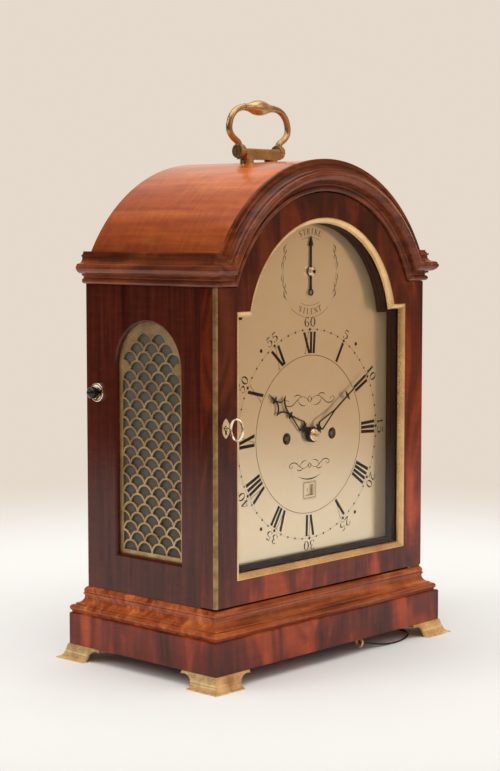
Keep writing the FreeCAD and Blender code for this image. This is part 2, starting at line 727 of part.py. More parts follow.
def foot():
    """Front left bracket foot: a mitred moulding with a flange, its inner ends scooped."""
    toe = float(of.foot_toe)
    rise = float(of.foot_height)
    arm = float(of.foot_arm)
    flange = -float(of.foot_flange)
    flange_under = rise - float(of.foot_flange_thickness)
    steps = []
    for step in FOOT_SHARES:
        if isinstance(step[0], tuple):
            steps.append(tuple((pair[0] * toe, pair[1] * rise) for pair in step))
        else:
            steps.append((step[0] * toe, step[1] * rise))
    inner = -FOOT_SHARES[0][0] * toe
    steps[-1] = (inner, flange_under)
    curves = curve_list(*steps, (flange, flange_under), (flange, rise))
    path = Part.makePolygon([Vector(0, arm, 0), Vector(0, 0, 0), Vector(arm, 0, 0)])
    profile = wire_at(curves, Vector(0, arm, 0), Vector(-1, 0, 0), Vector(0, 0, 1))
    solid = mitred(path, profile)
    over = float(of.overrun)
    corner, middle, heel = [(pair[0] * arm, pair[1] * rise) for pair in FOOT_END_SHARES]
    scoop = curve_list((arm + over, flange_under), (corner[0], flange_under), corner, (middle, heel),
                       (heel[0], -over), (arm + over, -over))
    depth = toe + 2 * over
    run = depth + float(of.foot_wall)
    across_front = Part.Face(wire_at(scoop, Vector(0, -toe - over, 0), Vector(1, 0, 0), Vector(0, 0, 1)))
    across_side = Part.Face(wire_at(scoop, Vector(-toe - over, 0, 0), Vector(0, 1, 0), Vector(0, 0, 1)))
    return solid.cut([across_front.extrude(Vector(0, run, 0)), across_side.extrude(Vector(run, 0, 0))])


def bracket_feet():
    """The same foot at each corner, every second one mirrored."""
    pieces = []
    corners = ((-1, -1, 0, False), (1, -1, 90, True), (1, 1, 180, False), (-1, 1, 270, True))
    for across, along, turn, mirrored in corners:
        shape = foot()
        if mirrored:
            shape = shape.mirror(Vector(0, 0, 0), Vector(1, -1, 0))
        corner = (across * of.plinth_width / 2, along * of.plinth_depth / 2, 0)
        pieces.append(place(shaped("Foot%d" % turn, shape), corner, Rotation(Vector(0, 0, 1), turn)))
    node("bracket_feet", together("BracketFeet", pieces))


# Plinth, base moulding and floor

def base_ring_at():
    z = plinth_bottom - of.base_ring_radius - of.base_ring_wire
    return of.base_ring_x, plinth_front + of.base_ring_setback, z


def plinth():
    outer = box("PlinthBlock", (of.plinth_width, of.plinth_depth, of.plinth_height),
                (-of.plinth_width / 2, plinth_front, plinth_bottom))
    doc.recompute()
    bevel = doc.addObject("Part::Chamfer", "PlinthBevel")
    bevel.Base = outer
    top = float(plinth_top)
    rim = [number for number, edge in enumerate(outer.Shape.Edges, start=1)
           if edge.BoundBox.ZMin > top - float(of.plinth_chamfer)]
    bevel.Edges = [(number, float(of.plinth_chamfer), float(of.plinth_chamfer)) for number in rim]
    well_width = of.plinth_width - 2 * of.plinth_wall
    well_depth = of.plinth_depth - 2 * of.plinth_wall
    hollow = box("PlinthHollow", (well_width, well_depth, of.plinth_height + 2 * of.overrun),
                 (-well_width / 2, plinth_front + of.plinth_wall, plinth_bottom - of.overrun))
    ring_x, ring_y, ring_z = base_ring_at()
    shank_hole = rod("RingShankHole", of.base_ring_wire, of.base_ring_shank,
                     (ring_x, ring_y, ring_z + of.base_ring_radius), "z")
    node("plinth", cut("Plinth", bevel, [hollow, shank_hole]))


BASE_MOULDING_SHARES = (
    (0.00, 0.00),
    (0.88, 0.00),
    (0.88, 0.06),
    ((0.99, 0.16), (0.74, 0.29)),
    (0.66, 0.29),
    (0.66, 0.35),
    ((0.33, 0.43), (0.22, 0.69)),
    (0.27, 0.69),
    (0.27, 0.75),
    (0.20, 0.75),
    ((0.19, 0.92), (0.05, 1.00)),
    (0.00, 1.00),
)


def base_moulding():
    """Mitred ring round the case; its front run is deeper and carries the sill under the door."""
    profile = share_outline(BASE_MOULDING_SHARES, of.base_moulding_projection, of.base_moulding_height)
    half = float(side_outer)
    front = float(case_face)
    back = float(case_back)
    base = float(plinth_top)
    path = Part.makePolygon([Vector(-half, 0, base), Vector(-half, front, base), Vector(half, front, base),
                             Vector(half, back, base), Vector(-half, back, base), Vector(-half, 0, base)])
    ring = shaped("MouldingRing", mitred(path, wire_at(profile, Vector(-half, 0, base), Vector(-1, 0, 0),
                                                       Vector(0, 0, 1))))
    sill = box("MouldingSill", (of.case_width, case_front - case_face, of.base_moulding_height),
               (-side_outer, case_face, plinth_top))
    node("base_moulding", joined("BaseMoulding", [ring, sill]))


def case_floor():
    node("case_floor", box("CaseFloor", (2 * side_inner, case_back - case_front, of.floor_thickness),
                           (-side_inner, case_front, plinth_top)))


# Sides with their arched openings

def bolt_slot(name):
    """Slot for the neck of the bolt, with room behind the lip for its hook."""
    clear = of.bolt_clearance
    right = of.overrun - side_inner
    height = of.bolt_height + 2 * clear
    low = lock_level - of.bolt_height / 2 - clear
    hook_end = -of.lock_x - of.bolt_neck / 2 - of.bolt_hook
    slot_left = hook_end - of.bolt_swing
    slot = box(name + "Slot", (right - slot_left, of.bolt_lip + 2 * of.overrun, height),
               (slot_left, case_front - of.overrun, low))
    room_left = hook_end - of.bolt_travel - clear
    room_depth = of.bolt_reach - of.door_back_gap - of.bolt_lip + of.bolt_swing
    room = box(name + "Room", (right - room_left, room_depth, height),
               (room_left, case_front + of.bolt_lip, low))
    return [slot, room]


def side(label, left):
    """Case side: opening with a rounded outer edge, and a deeper seat for the fret inside."""
    sign = -1 if left else 1
    panel_x = -side_outer if left else side_inner
    panel = box(label + "Panel", (of.side_thickness, case_back - case_front, cornice_top - plinth_top),
                (panel_x, case_front, plinth_top))
    middle = fret_middle
    opening = plate(label + "Opening",
                    [round_topped(of.fret_half_width, door_bottom + of.fret_bottom_height,
                                  door_bottom + of.fret_spring_height, middle)],
                    of.side_thickness + 2 * of.overrun, (panel_x - of.overrun, 0, 0), "side")
    seat_half = of.fret_half_width + of.fret_seat
    seat_x = -side_outer + of.fret_reveal if left else side_inner - of.overrun
    seat = plate(label + "Seat",
                 [round_topped(seat_half, door_bottom + of.fret_bottom_height - of.fret_seat,
                               door_bottom + of.fret_spring_height, middle)],
                 of.side_thickness - of.fret_reveal + of.overrun, (seat_x, 0, 0), "side")
    tools = [opening, seat]
    if left:
        tools += bolt_slot(label)
        tools.append(rod(label + "LineHole", of.repeat_line_radius + of.running_clearance,
                         of.side_thickness + 2 * of.overrun,
                         (panel_x - of.overrun, repeat_y, repeat_z), "x"))
        tools.append(rod(label + "FerruleHole", of.ferrule_pipe_radius,
                         of.side_thickness - of.fret_reveal + of.overrun,
                         (panel_x - of.overrun, repeat_y, repeat_z), "x"))
    body = cut(label + "Body", panel, tools)
    doc.recompute()
    edge_x = sign * float(side_outer)
    near = float(of.board_clearance)
    rim_front = float(middle - of.fret_half_width) - near
    rim_back = float(middle + of.fret_half_width) + near
    rim = []
    for number, edge in enumerate(body.Shape.Edges, start=1):
        bounds = edge.BoundBox
        on_face = abs(bounds.XMin - edge_x) < near and abs(bounds.XMax - edge_x) < near
        between = rim_front < bounds.YMin and bounds.YMax < rim_back
        level = float(door_bottom) < bounds.Center.z < float(cornice_bottom)
        if on_face and between and level:
            rim.append(number)
    rounded = doc.addObject("Part::Fillet", label + "Round")
    rounded.Base = body
    rounded.Edges = [(number, float(of.fret_edge_round), float(of.fret_edge_round)) for number in rim]
    node(label, rounded)


# Brass frets of fish scales, and the cloth behind them

def scale_hole(middle, height, half_left, half_right, flat):
    """One gap: an arched top over the tops of the two scales below it."""
    pitch = float(of.fret_pitch)
    web = float(of.fret_web)
    row = float(of.fret_row)
    top_radius = (pitch - web) / 2
    low_radius = (pitch + web) / 2
    half = pitch / 2
    if flat:
        left = (middle - (0 if half_left else top_radius), height)
        right = (middle + (0 if half_right else top_radius), height)
        top = (middle, height + top_radius)
        if half_left:
            start = (middle, height)
            slope = math.sqrt(0.5) * top_radius
            return curve_list(start, right, ((middle + slope, height + slope), top))
        if half_right:
            slope = math.sqrt(0.5) * top_radius
            return curve_list(left, (middle, height), top, ((middle - slope, height + slope), left))
        return curve_list(left, right, (top, left))
    # corner where the arched top meets the scale below on one side
    reach = math.hypot(half, row)
    along = (top_radius ** 2 - low_radius ** 2 + reach ** 2) / (2 * reach)
    aside = math.sqrt(top_radius ** 2 - along ** 2)
    corner_u = (half * along + row * aside) / reach
    corner_v = (-row * along + half * aside) / reach
    tip = -row + math.sqrt(low_radius ** 2 - half ** 2)

    def low_middle(side_sign):
        start_angle = math.atan2(corner_v + row, corner_u - half)
        end_angle = math.atan2(tip + row, -half)
        angle = (start_angle + end_angle) / 2
        return (middle + side_sign * (half + low_radius * math.cos(angle)),
                height - row + low_radius * math.sin(angle))

    top = (middle, height + top_radius)
    right_corner = (middle + corner_u, height + corner_v)
    left_corner = (middle - corner_u, height + corner_v)
    tip_point = (middle, height + tip)
    top_angle = (math.atan2(corner_v, corner_u) + math.pi / 2) / 2
    right_top = (middle + top_radius * math.cos(top_angle), height + top_radius * math.sin(top_angle))
    left_top = (middle - top_radius * math.cos(top_angle), height + top_radius * math.sin(top_angle))
    if half_left:
        return curve_list(tip_point, (low_middle(1), right_corner), (right_top, top))
    if half_right:
        return curve_list(tip_point, top, (left_top, left_corner), (low_middle(-1), tip_point))
    return curve_list(tip_point, (low_middle(1), right_corner), (right_top, top), (left_top, left_corner),
                      (low_middle(-1), tip_point))


def fret_outlines():
    """Rim, then a gap for every scale that fits inside the rim."""
    middle = float(fret_middle)
    spring = float(door_bottom + of.fret_spring_height)
    rim_half = float(of.fret_half_width - of.fret_rim)
    low = float(door_bottom + of.fret_bottom_height + of.fret_rim)
    pitch = float(of.fret_pitch)
    row = float(of.fret_row)
    reach = (pitch - float(of.fret_web)) / 2
    edge = float(of.fret_seat - of.fret_fit)
    outlines = [round_topped(float(of.fret_half_width) + edge,
                             float(door_bottom + of.fret_bottom_height) - edge, spring, middle)]
    rows = int((spring + rim_half - low) / row) + 1
    columns = int(rim_half / pitch)
    for level in range(rows):
        height = low + level * row
        odd = level % 2
        spots = [index * pitch + pitch / 2 for index in range(-columns, columns)]
        if odd:
            spots = [index * pitch for index in range(-columns, columns + 1)]
        for spot in spots:
            left_half = odd and spot < -columns * pitch + reach
            right_half = odd and spot > columns * pitch - reach
            above = height + reach > spring
            if above and (left_half or right_half):
                continue
            if above and math.hypot(spot, max(height - spring, 0)) + reach > rim_half:
                continue
            outlines.append(scale_hole(middle + spot, height, left_half, right_half, level == 0))
    return outlines


def frets():
    outlines = fret_outlines()
    left_x = -side_outer + of.fret_reveal
    right_x = side_outer - of.fret_reveal - of.fret_thickness
    node("fret_left", plate("FretLeft", outlines, of.fret_thickness, (left_x, 0, 0), "side"))
    node("fret_right", plate("FretRight", outlines, of.fret_thickness, (right_x, 0, 0), "side"))
    node("fret_cloths", together("FretCloths", [
        plate("ClothLeft", [outlines[0]], of.cloth_thickness, (left_x + of.fret_thickness, 0, 0), "side"),
        plate("ClothRight", [outlines[0]], of.cloth_thickness, (right_x - of.cloth_thickness, 0, 0), "side"),
    ]))


# Frames inside the case

def dial_outline(growth):
    """Edge of the dial, grown outwards."""
    return arched(of.dial_half_width + growth, door_bottom + of.dial_bottom_height - growth,
                  dial_shoulder + growth, of.dial_arch_radius + growth, arch_centre)


def front_frame():
    vault = vault_inner_radius - of.roof_seat_clearance
    board = plate("FrontFrameBoard", [
        vaulted(side_inner - of.board_clearance, plinth_top + of.floor_thickness, vault, arch_centre),
        dial_outline(of.dial_fit),
    ], of.front_frame_thickness, (0, case_front, 0), "front")
    node("front_frame", board)


def mask_outline(growth):
    """Sight edge of the mask, grown outwards."""
    return arched(of.mask_half_width + growth, door_bottom + of.mask_bottom_height - growth,
                  mask_shoulder + growth, of.mask_arch_radius + growth, arch_centre)


def dial_mask():
    node("dial_mask", plate("DialMask", [mask_outline(of.mask_border), mask_outline(as_size(0))],
                            of.mask_thickness, (0, mask_front, 0), "front"))


def rear_opening(growth):
    return round_topped(rear_half_width + growth, rear_sill - growth, arch_centre)


def rear_pins(name, clearance):
    """Pins of the back door; the same rods with room round them are their sockets."""
    reach = float(rear_pivot_x)
    door_half = float(rear_half_width - of.rear_door_gap)
    arch_rise = as_size(math.sqrt(door_half ** 2 - reach ** 2))
    low = rear_sill - of.pivot_length
    low_length = 2 * of.pivot_length + of.rear_door_gap
    high = arch_centre + arch_rise - of.pivot_length
    high_end = arch_centre + of.rear_relief_high + of.pivot_length
    pins = []
    for end, start, length in (("Low", low, low_length), ("High", high, high_end - high)):
        pins.append(rod(name + end, of.pivot_radius + clearance, length + 2 * clearance,
                        (rear_pivot_x, rear_pivot_y, start - clearance), "z"))
    return pins


def rear_frame():
    vault = vault_inner_radius - of.roof_seat_clearance
    board = plate("RearFrameBoard", [
        vaulted(side_inner - of.board_clearance, plinth_top + of.floor_thickness, vault, arch_centre),
        rear_opening(as_size(0)),
    ], of.rear_frame_thickness, (0, rear_frame_front, 0), "front")
    relief = rod("RearFrameRelief", of.rear_pivot_inset, of.rear_relief_high - of.rear_relief_low,
                 (rear_pivot_x, rear_pivot_y, arch_centre + of.rear_relief_low), "z")
    sockets = rear_pins("RearFrameSocket", of.pivot_clearance)
    node("rear_frame", cut("RearFrame", board, [relief] + sockets))


def seat_board():
    y = case_front + of.front_frame_thickness + of.seat_front_gap
    bottom = door_bottom + of.seat_height
    width = 2 * (side_inner - of.board_clearance)
    board = box("SeatBoard", (width, of.seat_depth, of.seat_thickness), (-width / 2, y, bottom))
    bearers = []
    for name, x in (("BearerLeft", -side_inner), ("BearerRight", side_inner - of.bearer_width)):
        bearers.append(box(name, (of.bearer_width, of.seat_depth, of.bearer_width),
                           (x, y, bottom - of.bearer_width)))
    node("seat_board", together("SeatAndBearers", [board] + bearers))


# Face above the door, roof and mouldings

def fascia():
    """Arched board above the door: its lower edge follows the door."""
    inner = float(of.arch_inner_radius)
    centre = float(arch_centre)
    level = float(cornice_bottom)
    top = float(cornice_top)
    half = float(side_outer)
    vault = float(vault_inner_radius - of.roof_seat_clearance)
    foot_x = math.sqrt(inner ** 2 - (level - centre) ** 2)
    vault_x = math.sqrt(vault ** 2 - (top - centre) ** 2)
    outline = curve_list((-half, level), (-foot_x, level), ((0, centre + inner), (foot_x, level)),
                         (half, level), (half, top), (vault_x, top), ((0, centre + vault), (-vault_x, top)),
                         (-half, top))
    node("fascia", plate("Fascia", [outline], case_front - case_face, (0, case_face, 0), "front"))


def roof_shell():
    """Vault of one even thickness that stands on the sides."""
    outer = float(of.roof_radius)
    inner = float(vault_inner_radius)
    centre = float(arch_centre)
    level = float(cornice_top)
    outer_x = math.sqrt(outer ** 2 - (level - centre) ** 2)
    inner_x = math.sqrt(inner ** 2 - (level - centre) ** 2)
    outline = curve_list((-outer_x, level), (-inner_x, level), ((0, centre + inner), (inner_x, level)),
                         (outer_x, level), ((0, centre + outer), (-outer_x, level)))
    shell = plate("RoofVault", [outline], case_back - case_face, (0, case_face, 0), "front")
    holes = []
    for name, side_sign in (("StudHoleLeft", -1), ("StudHoleRight", 1)):
        low_end = (side_sign * of.handle_foot_x, case_middle, roof_top - of.handle_stud_length)
        holes.append(rod(name, of.handle_stud_radius + of.running_clearance, 2 * of.handle_stud_length,
                         low_end, "z"))
    node("roof_shell", cut("RoofShell", shell, holes))


CORNICE_SHARES = (
    (0.00, 0.00),
    (0.17, 0.00),
    ((0.40, 0.085), (0.24, 0.17)),
    ((0.27, 0.225), (0.42, 0.25)),
    (0.42, 0.30),
    (0.52, 0.31),
    ((0.80, 0.36), (0.97, 0.45)),
    ((1.00, 0.50), (0.93, 0.56)),
    ((0.87, 0.61), (0.78, 0.625)),
    (0.72, 0.63),
    ((0.46, 0.68), (0.37, 0.83)),
    (0.44, 0.84),
    (0.44, 0.89),
    (0.32, 0.90),
    (0.32, 0.94),
    (0.25, 0.94),
    (0.25, 1.00),
    (0.00, 1.00),
)


def cornice_profile():
    return share_outline(CORNICE_SHARES, of.cornice_projection, of.cornice_height)


def mitre_prism():
    """Block between the two inner mitres.

    A mitre joins equal heights on the straight run and on the arch, so it lies where a
    point's height above the cornice's foot equals its distance beyond the inner radius.
    """
    centre = float(arch_centre)
    inner = float(of.arch_inner_radius)
    foot = float(cornice_bottom) - centre
    over = float(of.overrun)
    depth = float(of.cornice_projection) + 2 * over

    def mitre_point(rise):
        return math.sqrt((inner + rise) ** 2 - (foot + rise) ** 2)

    rises = [-over, float(of.cornice_height) / 2, float(of.cornice_height) + over]
    low, middle, high = [(mitre_point(rise), centre + foot + rise) for rise in rises]
    crown = centre + 2 * inner
    outline = curve_list((-low[0], low[1]), low, (middle, high), (high[0], crown), (-high[0], crown),
                         (-high[0], high[1]), ((-middle[0], middle[1]), (-low[0], low[1])))
    start = Vector(0, float(case_face) + over, 0)
    face = Part.Face(wire_at(outline, start, Vector(1, 0, 0), Vector(0, 0, 1)))
    return face.extrude(Vector(0, -depth, 0))


def cornice_run(name, sign):
    """Side run and front return, mitred at the corner and cut to the arch."""
    half = sign * float(side_outer)
    level = float(cornice_bottom)
    start = Vector(half, float(case_back), level)
    corner = Vector(half, float(case_face), level)
    end = Vector(0, float(case_face), level)
    profile = wire_at(cornice_profile(), start, Vector(sign, 0, 0), Vector(0, 0, 1))
    run = mitred(Part.makePolygon([start, corner, end]), profile).cut(mitre_prism())
    solids = sorted(run.Solids, key=lambda solid: solid.Volume)
    return shaped(name, solids[-1])


def cornice_returns():
    runs = [cornice_run("CorniceLeft", -1), cornice_run("CorniceRight", 1)]
    node("cornice_returns", together("CorniceReturns", runs))


def arch_moulding():
    """The cornice's profile turned round the arch's centre, between the two mitres."""
    centre = Vector(0, 0, float(arch_centre))
    start = Vector(0, float(case_face), float(arch_centre + of.arch_inner_radius))
    profile = Part.Face(wire_at(cornice_profile(), start, Vector(0, -1, 0), Vector(0, 0, 1)))
    ring = profile.revolve(centre, Vector(0, 1, 0), FULL_TURN)
    node("arch_moulding", shaped("ArchMoulding", ring.common(mitre_prism())))


# Front door

def opening_outline(growth, from_middle=False):
    """Edge of the door's opening, grown outwards."""
    return arched(of.door_width / 2 - of.door_stile + growth, door_bottom + of.door_rail - growth,
                  opening_shoulder + growth, of.opening_arch_radius + growth, arch_centre, from_middle)


def marquise(half_width, half_height):
    """Pointed oval round the keyhole."""
    x = -float(of.lock_x)
    z = float(lock_level)
    low = (x, z - float(half_height))
    high = (x, z + float(half_height))
    return curve_list(low, ((x + float(half_width), z), high), ((x - float(half_width), z), low))


def keyhole(name, front, depth):
    """Round hole with a slot below it for the bit."""
    hole = rod(name + "Round", of.keyhole_radius, depth, (-of.lock_x, front, lock_level), "y")
    slot = box(name + "Slot", (of.keyhole_slot_width, depth, of.keyhole_slot_height),
               (-of.lock_x - of.keyhole_slot_width / 2, front, lock_level - of.keyhole_slot_height))
    return [hole, slot]


def door_pins(name, clearance):
    """Pins of the front door; the same rods with room round them are their sockets."""
    pins = []
    for end, start, length in (
            ("Low", moulding_top, of.door_sill_gap + of.pivot_length),
            ("High", door_shoulder - of.pivot_length, of.pivot_length + of.cornice_gap)):
        pins.append(rod(name + end, of.pivot_radius + clearance, length + 2 * clearance,
                        (door_pivot_x, door_pivot_y, start - clearance), "z"))
    return pins


def lock_case_size(clearance):
    """Lengths of the lock case and its lowest corner, with room round its sides."""
    width = of.lock_case_width + 2 * clearance
    depth = 2 * of.lock_plate + of.lock_chamber_depth + of.bolt_thickness + 2 * of.bolt_clearance
    height = of.lock_case_height + 2 * clearance
    corner = (-of.lock_x - width / 2, door_front + of.lock_case_setback, lock_level - height / 2)
    return width, depth, height, corner


def door_frame():
    outline = arched(of.door_width / 2, door_bottom, door_shoulder, of.arch_inner_radius - of.door_arch_gap,
                     arch_centre)
    board = plate("DoorBoard", [outline, opening_outline(as_size(0))], of.door_thickness,
                  (0, door_front, 0), "front")
    rebate_front = mask_front - of.mask_front_gap
    rebate = plate("DoorRebate", [mask_outline(of.mask_border + of.mask_room)],
                   door_back - rebate_front + of.overrun, (0, rebate_front, 0), "front")
    width, depth, height, corner = lock_case_size(of.board_clearance)
    mortise = box("LockMortise", (width, depth + of.overrun, height), corner)
    inlay = plate("EscutcheonSeat", [marquise(of.escutcheon_width / 2, of.escutcheon_height / 2)],
                  of.escutcheon_thickness, (0, door_front - of.escutcheon_proud, 0), "front")
    strip = box("StripSeat", (of.corner_strip_width, of.corner_strip_width, of.door_shoulder_height),
                (-of.door_width / 2, door_front, door_bottom))
    tools = [rebate, mortise, inlay, strip]
    tools += keyhole("DoorKeyhole", door_front - of.overrun, of.lock_case_setback + 2 * of.overrun)
    tools += door_pins("DoorSocket", of.pivot_clearance)
    node("door_frame", cut("DoorFrame", board, tools))


def door_glass():
    front = door_front + of.bezel_width + of.glass_clearance
    node("door_glass", plate("DoorGlass", [opening_outline(-of.glass_clearance)], of.glass_thickness,
                             (0, front, 0), "front"))
    bead_front = front + of.glass_thickness
    node("glass_bead", plate("GlassBead", [opening_outline(as_size(0)), opening_outline(-of.bezel_width)],
                             of.bead_thickness, (0, bead_front, 0), "front"))


def quadrant(radius):
    """Quarter round whose flat sides meet at the point (0, radius)."""
    radius = float(radius)
    slope = radius * math.sqrt(0.5)
    return curve_list((0, 0), (0, radius), (radius, radius), ((slope, radius - slope), (0, 0)))


def door_bezel():
    """Brass quarter round mitred round the opening."""
    path = wire_at(opening_outline(as_size(0), True), Vector(0, float(door_front), 0), Vector(1, 0, 0),
                   Vector(0, 0, 1))
    start = Vector(0, float(door_front), float(door_bottom + of.door_rail))
    profile = wire_at(quadrant(of.bezel_width), start, Vector(0, 0, 1), Vector(0, 1, 0))
    node("door_bezel", shaped("DoorBezel", mitred(path, profile)))


def door_corner_strip():
    width = of.corner_strip_width
    top = (-of.door_width / 2 + width, door_front, door_shoulder)
    strip = plate("DoorCornerStrip", [quadrant(width)], of.door_shoulder_height, top, "flat")
    place(strip, top, Rotation(Vector(0, 1, 0), 180))
    node("door_corner_strip", strip)


def door_escutcheon():
    front = door_front - of.escutcheon_proud
    plaque = plate("EscutcheonPlate", [marquise(of.escutcheon_width / 2, of.escutcheon_height / 2)],
                   of.escutcheon_thickness, (0, front, 0), "front")
    holes = keyhole("EscutcheonKeyhole", front - of.overrun, of.escutcheon_thickness + 2 * of.overrun)
    node("door_escutcheon", cut("DoorEscutcheon", plaque, holes))


# Lock, bolt and key

def bolt_room_front():
    return door_front + of.lock_case_setback + of.lock_plate + of.lock_chamber_depth


def door_lock():
    width, depth, height, corner = lock_case_size(as_size(0))
    case = box("LockCase", (width, depth, height), corner)
    chamber = rod("LockChamber", of.lock_chamber_radius, of.lock_chamber_depth,
                  (-of.lock_x, corner[1] + of.lock_plate, lock_level), "y")
    clear = of.bolt_clearance
    room_width = of.bolt_length + of.bolt_travel + 2 * clear
    room_depth = of.bolt_thickness + 2 * clear
    room_height = of.bolt_height + 2 * clear
    low = lock_level - room_height / 2
    room = box("BoltRoom", (room_width, room_depth, room_height),
               (-of.lock_x - room_width / 2, bolt_room_front(), low))
    exit_width = of.bolt_neck + of.bolt_travel + 2 * clear
    way_out = box("BoltWayOut", (exit_width, of.lock_plate + 2 * of.overrun, room_height),
                  (-of.lock_x - of.bolt_neck / 2 - of.bolt_travel - clear,
                   bolt_room_front() + room_depth - of.overrun, low))
    holes = keyhole("LockKeyhole", corner[1] - of.overrun, of.lock_plate + 2 * of.overrun)
    node("door_lock", cut("DoorLock", case, [chamber, room, way_out] + holes))


def lock_bolt():
    """Bolt at rest, drawn back: its neck reaches into the case and ends in a hook."""
    front = bolt_room_front() + of.bolt_clearance
    low = lock_level - of.bolt_height / 2
    body = box("BoltBody", (of.bolt_length, of.bolt_thickness, of.bolt_height),
               (of.bolt_travel / 2 - of.lock_x - of.bolt_length / 2, front, low))
    neck_left = -of.lock_x - of.bolt_neck / 2
    neck_end = door_back + of.bolt_reach
    neck = box("BoltNeck", (of.bolt_neck, neck_end - front, of.bolt_height), (neck_left, front, low))
    hook = box("BoltHook", (of.bolt_hook + of.bolt_neck, of.bolt_hook_thickness, of.bolt_height),
               (neck_left - of.bolt_hook, neck_end - of.bolt_hook_thickness, low))
    node("lock_bolt", joined("LockBolt", [body, neck, hook]))


OVAL_END_SHARE = 0.84


def oval_ring(centre, along, across, wire_radius):
    """Round wire bent to an oval of four arcs; the vectors are its short and its long half axis."""
    short = along.Length
    long = across.Length
    end_radius = OVAL_END_SHARE * short
    end_centre = long - end_radius
    side_radius = (end_centre ** 2 + short ** 2 - end_radius ** 2) / 2 / (short - end_radius)
    side_centre = side_radius - short
    stretch = side_radius / math.hypot(end_centre, side_centre)
    joint_across = across * (end_centre * stretch / long)
    joint_along = along * (side_centre * (stretch - 1) / short)
    corners = [centre + joint_across + joint_along, centre - joint_across + joint_along,
               centre - joint_across - joint_along, centre + joint_across - joint_along]
    crowns = [centre + along, centre - across, centre - along, centre + across]
    edges = []
    for start, crown, end in zip(corners, crowns, corners[1:] + corners[:1]):
        edges.append(Part.Arc(start, crown, end).toShape())
    start_way = edges[0].tangentAt(edges[0].FirstParameter)
    section = Part.Circle(corners[0], start_way, float(wire_radius))
    return Part.Wire(edges).makePipeShell([Part.Wire([section.toShape()])], True, True)


def door_key():
    front = door_front - of.key_shank_front
    end = door_front + of.key_shank_back
    wire = of.key_bow_wire
    x = -of.lock_x
    shank = rod("KeyShank", of.key_shank_radius, end - front + wire, (x, front - wire, lock_level), "y")
    collar = rod("KeyCollar", of.key_collar_radius, of.key_collar_length, (x, front, lock_level), "y")
    bit = box("KeyBit", (of.key_bit_thickness, of.key_bit_width, of.key_bit_reach),
              (x - of.key_bit_thickness / 2, end - of.key_bit_width, lock_level - of.key_bit_reach))
    middle = Vector(float(x), float(front - of.key_bow_length / 2), float(lock_level))
    along = Vector(0, float(of.key_bow_length / 2 - wire), 0)
    across = Vector(0, 0, float(of.key_bow_height / 2 - wire))
    bow = shaped("KeyBow", oval_ring(middle, along, across, wire))
    node("door_key", joined("DoorKey", [shank, collar, bit, bow]))


# Pivots of both doors

def pivot_plates():
    pins = door_pins("DoorPin", as_size(0))
    right = door_pivot_x + of.pivot_plate_edge
    front = door_pivot_y - of.pivot_plate_edge
    pieces = []
    low_thickness = of.door_sill_gap - of.pivot_plate_gap
    high_thickness = of.cornice_gap - of.pivot_plate_gap
    for end, pin, thickness, level in (("Low", pins[0], low_thickness, moulding_top),
                                       ("High", pins[1], high_thickness, cornice_bottom - high_thickness)):
        leaf = box("PivotLeaf" + end, (of.pivot_plate_length, of.pivot_plate_width, thickness),
                   (right - of.pivot_plate_length, front, level))
        pieces.append(joined("PivotPlate" + end, [leaf, pin]))
    pieces += rear_pins("RearPin", as_size(0))
    node("pivot_plates", together("PivotPlates", pieces))


# Back door

def rear_knob_at():
    x = of.rear_door_gap + of.rear_door_stile / 2 - rear_half_width
    return x, door_bottom + of.rear_knob_height


def rear_door_frame():
    gap = of.rear_door_gap
    front = case_back - of.rear_door_thickness
    board = plate("RearDoorBoard", [rear_opening(-gap), rear_opening(-gap - of.rear_door_stile)],
                  of.rear_door_thickness, (0, front, 0), "front")
    glass_back = case_back - of.rear_glass_setback
    rebate = plate("RearDoorRebate", [rear_opening(of.rear_glass_lap - gap - of.rear_door_stile)],
                   glass_back - front + of.overrun, (0, front - of.overrun, 0), "front")
    x, z = rear_knob_at()
    hole = rod("RearSpindleHole", of.rear_spindle_radius + of.running_clearance,
               of.rear_door_thickness + 2 * of.overrun, (x, front - of.overrun, z), "y")
    tools = [rebate, hole] + rear_pins("RearDoorSocket", of.pivot_clearance)
    node("rear_door_frame", cut("RearDoorFrame", board, tools))


def rear_door_glass():
    back = case_back - of.rear_glass_setback
    growth = of.rear_glass_lap - of.rear_door_gap - of.rear_door_stile - of.glass_clearance
    node("rear_door_glass", plate("RearDoorGlass", [rear_opening(growth)], of.rear_glass_thickness,
                                  (0, back - of.rear_glass_thickness, 0), "front"))


REAR_KNOB_SHARES = (
    (0.00, 0.00),
    (0.80, 0.00),
    (0.80, 0.14),
    ((0.42, 0.28), (0.50, 0.46)),
    ((0.98, 0.62), (0.86, 0.88)),
    ((0.60, 0.97), (0.20, 1.00)),
    (0.00, 1.00),
)


def rear_door_knob():
    x, z = rear_knob_at()
    outline = share_outline(REAR_KNOB_SHARES, of.rear_knob_radius, of.rear_knob_length)
    knob = turned("RearKnobTurned", outline, (x, case_back, z), "y")
    latch_front = rear_frame_front - of.bolt_clearance - of.rear_latch_thickness
    spindle_length = case_back - latch_front + of.rear_knob_length / 8
    spindle = rod("RearSpindle", of.rear_spindle_radius, spindle_length, (x, latch_front, z), "y")
    latch_height = of.rear_latch_length + of.rear_latch_width / 2
    latch = box("RearLatch", (of.rear_latch_width, of.rear_latch_thickness, latch_height),
                (x - of.rear_latch_width / 2, latch_front, z - of.rear_latch_length))
    node("rear_door_knob", joined("RearDoorKnob", [knob, spindle, latch]))


# Handle on the roof

def handle_stud_low():
    return roof_top + of.handle_bar_lift + of.handle_stud_bite - of.handle_stud_length


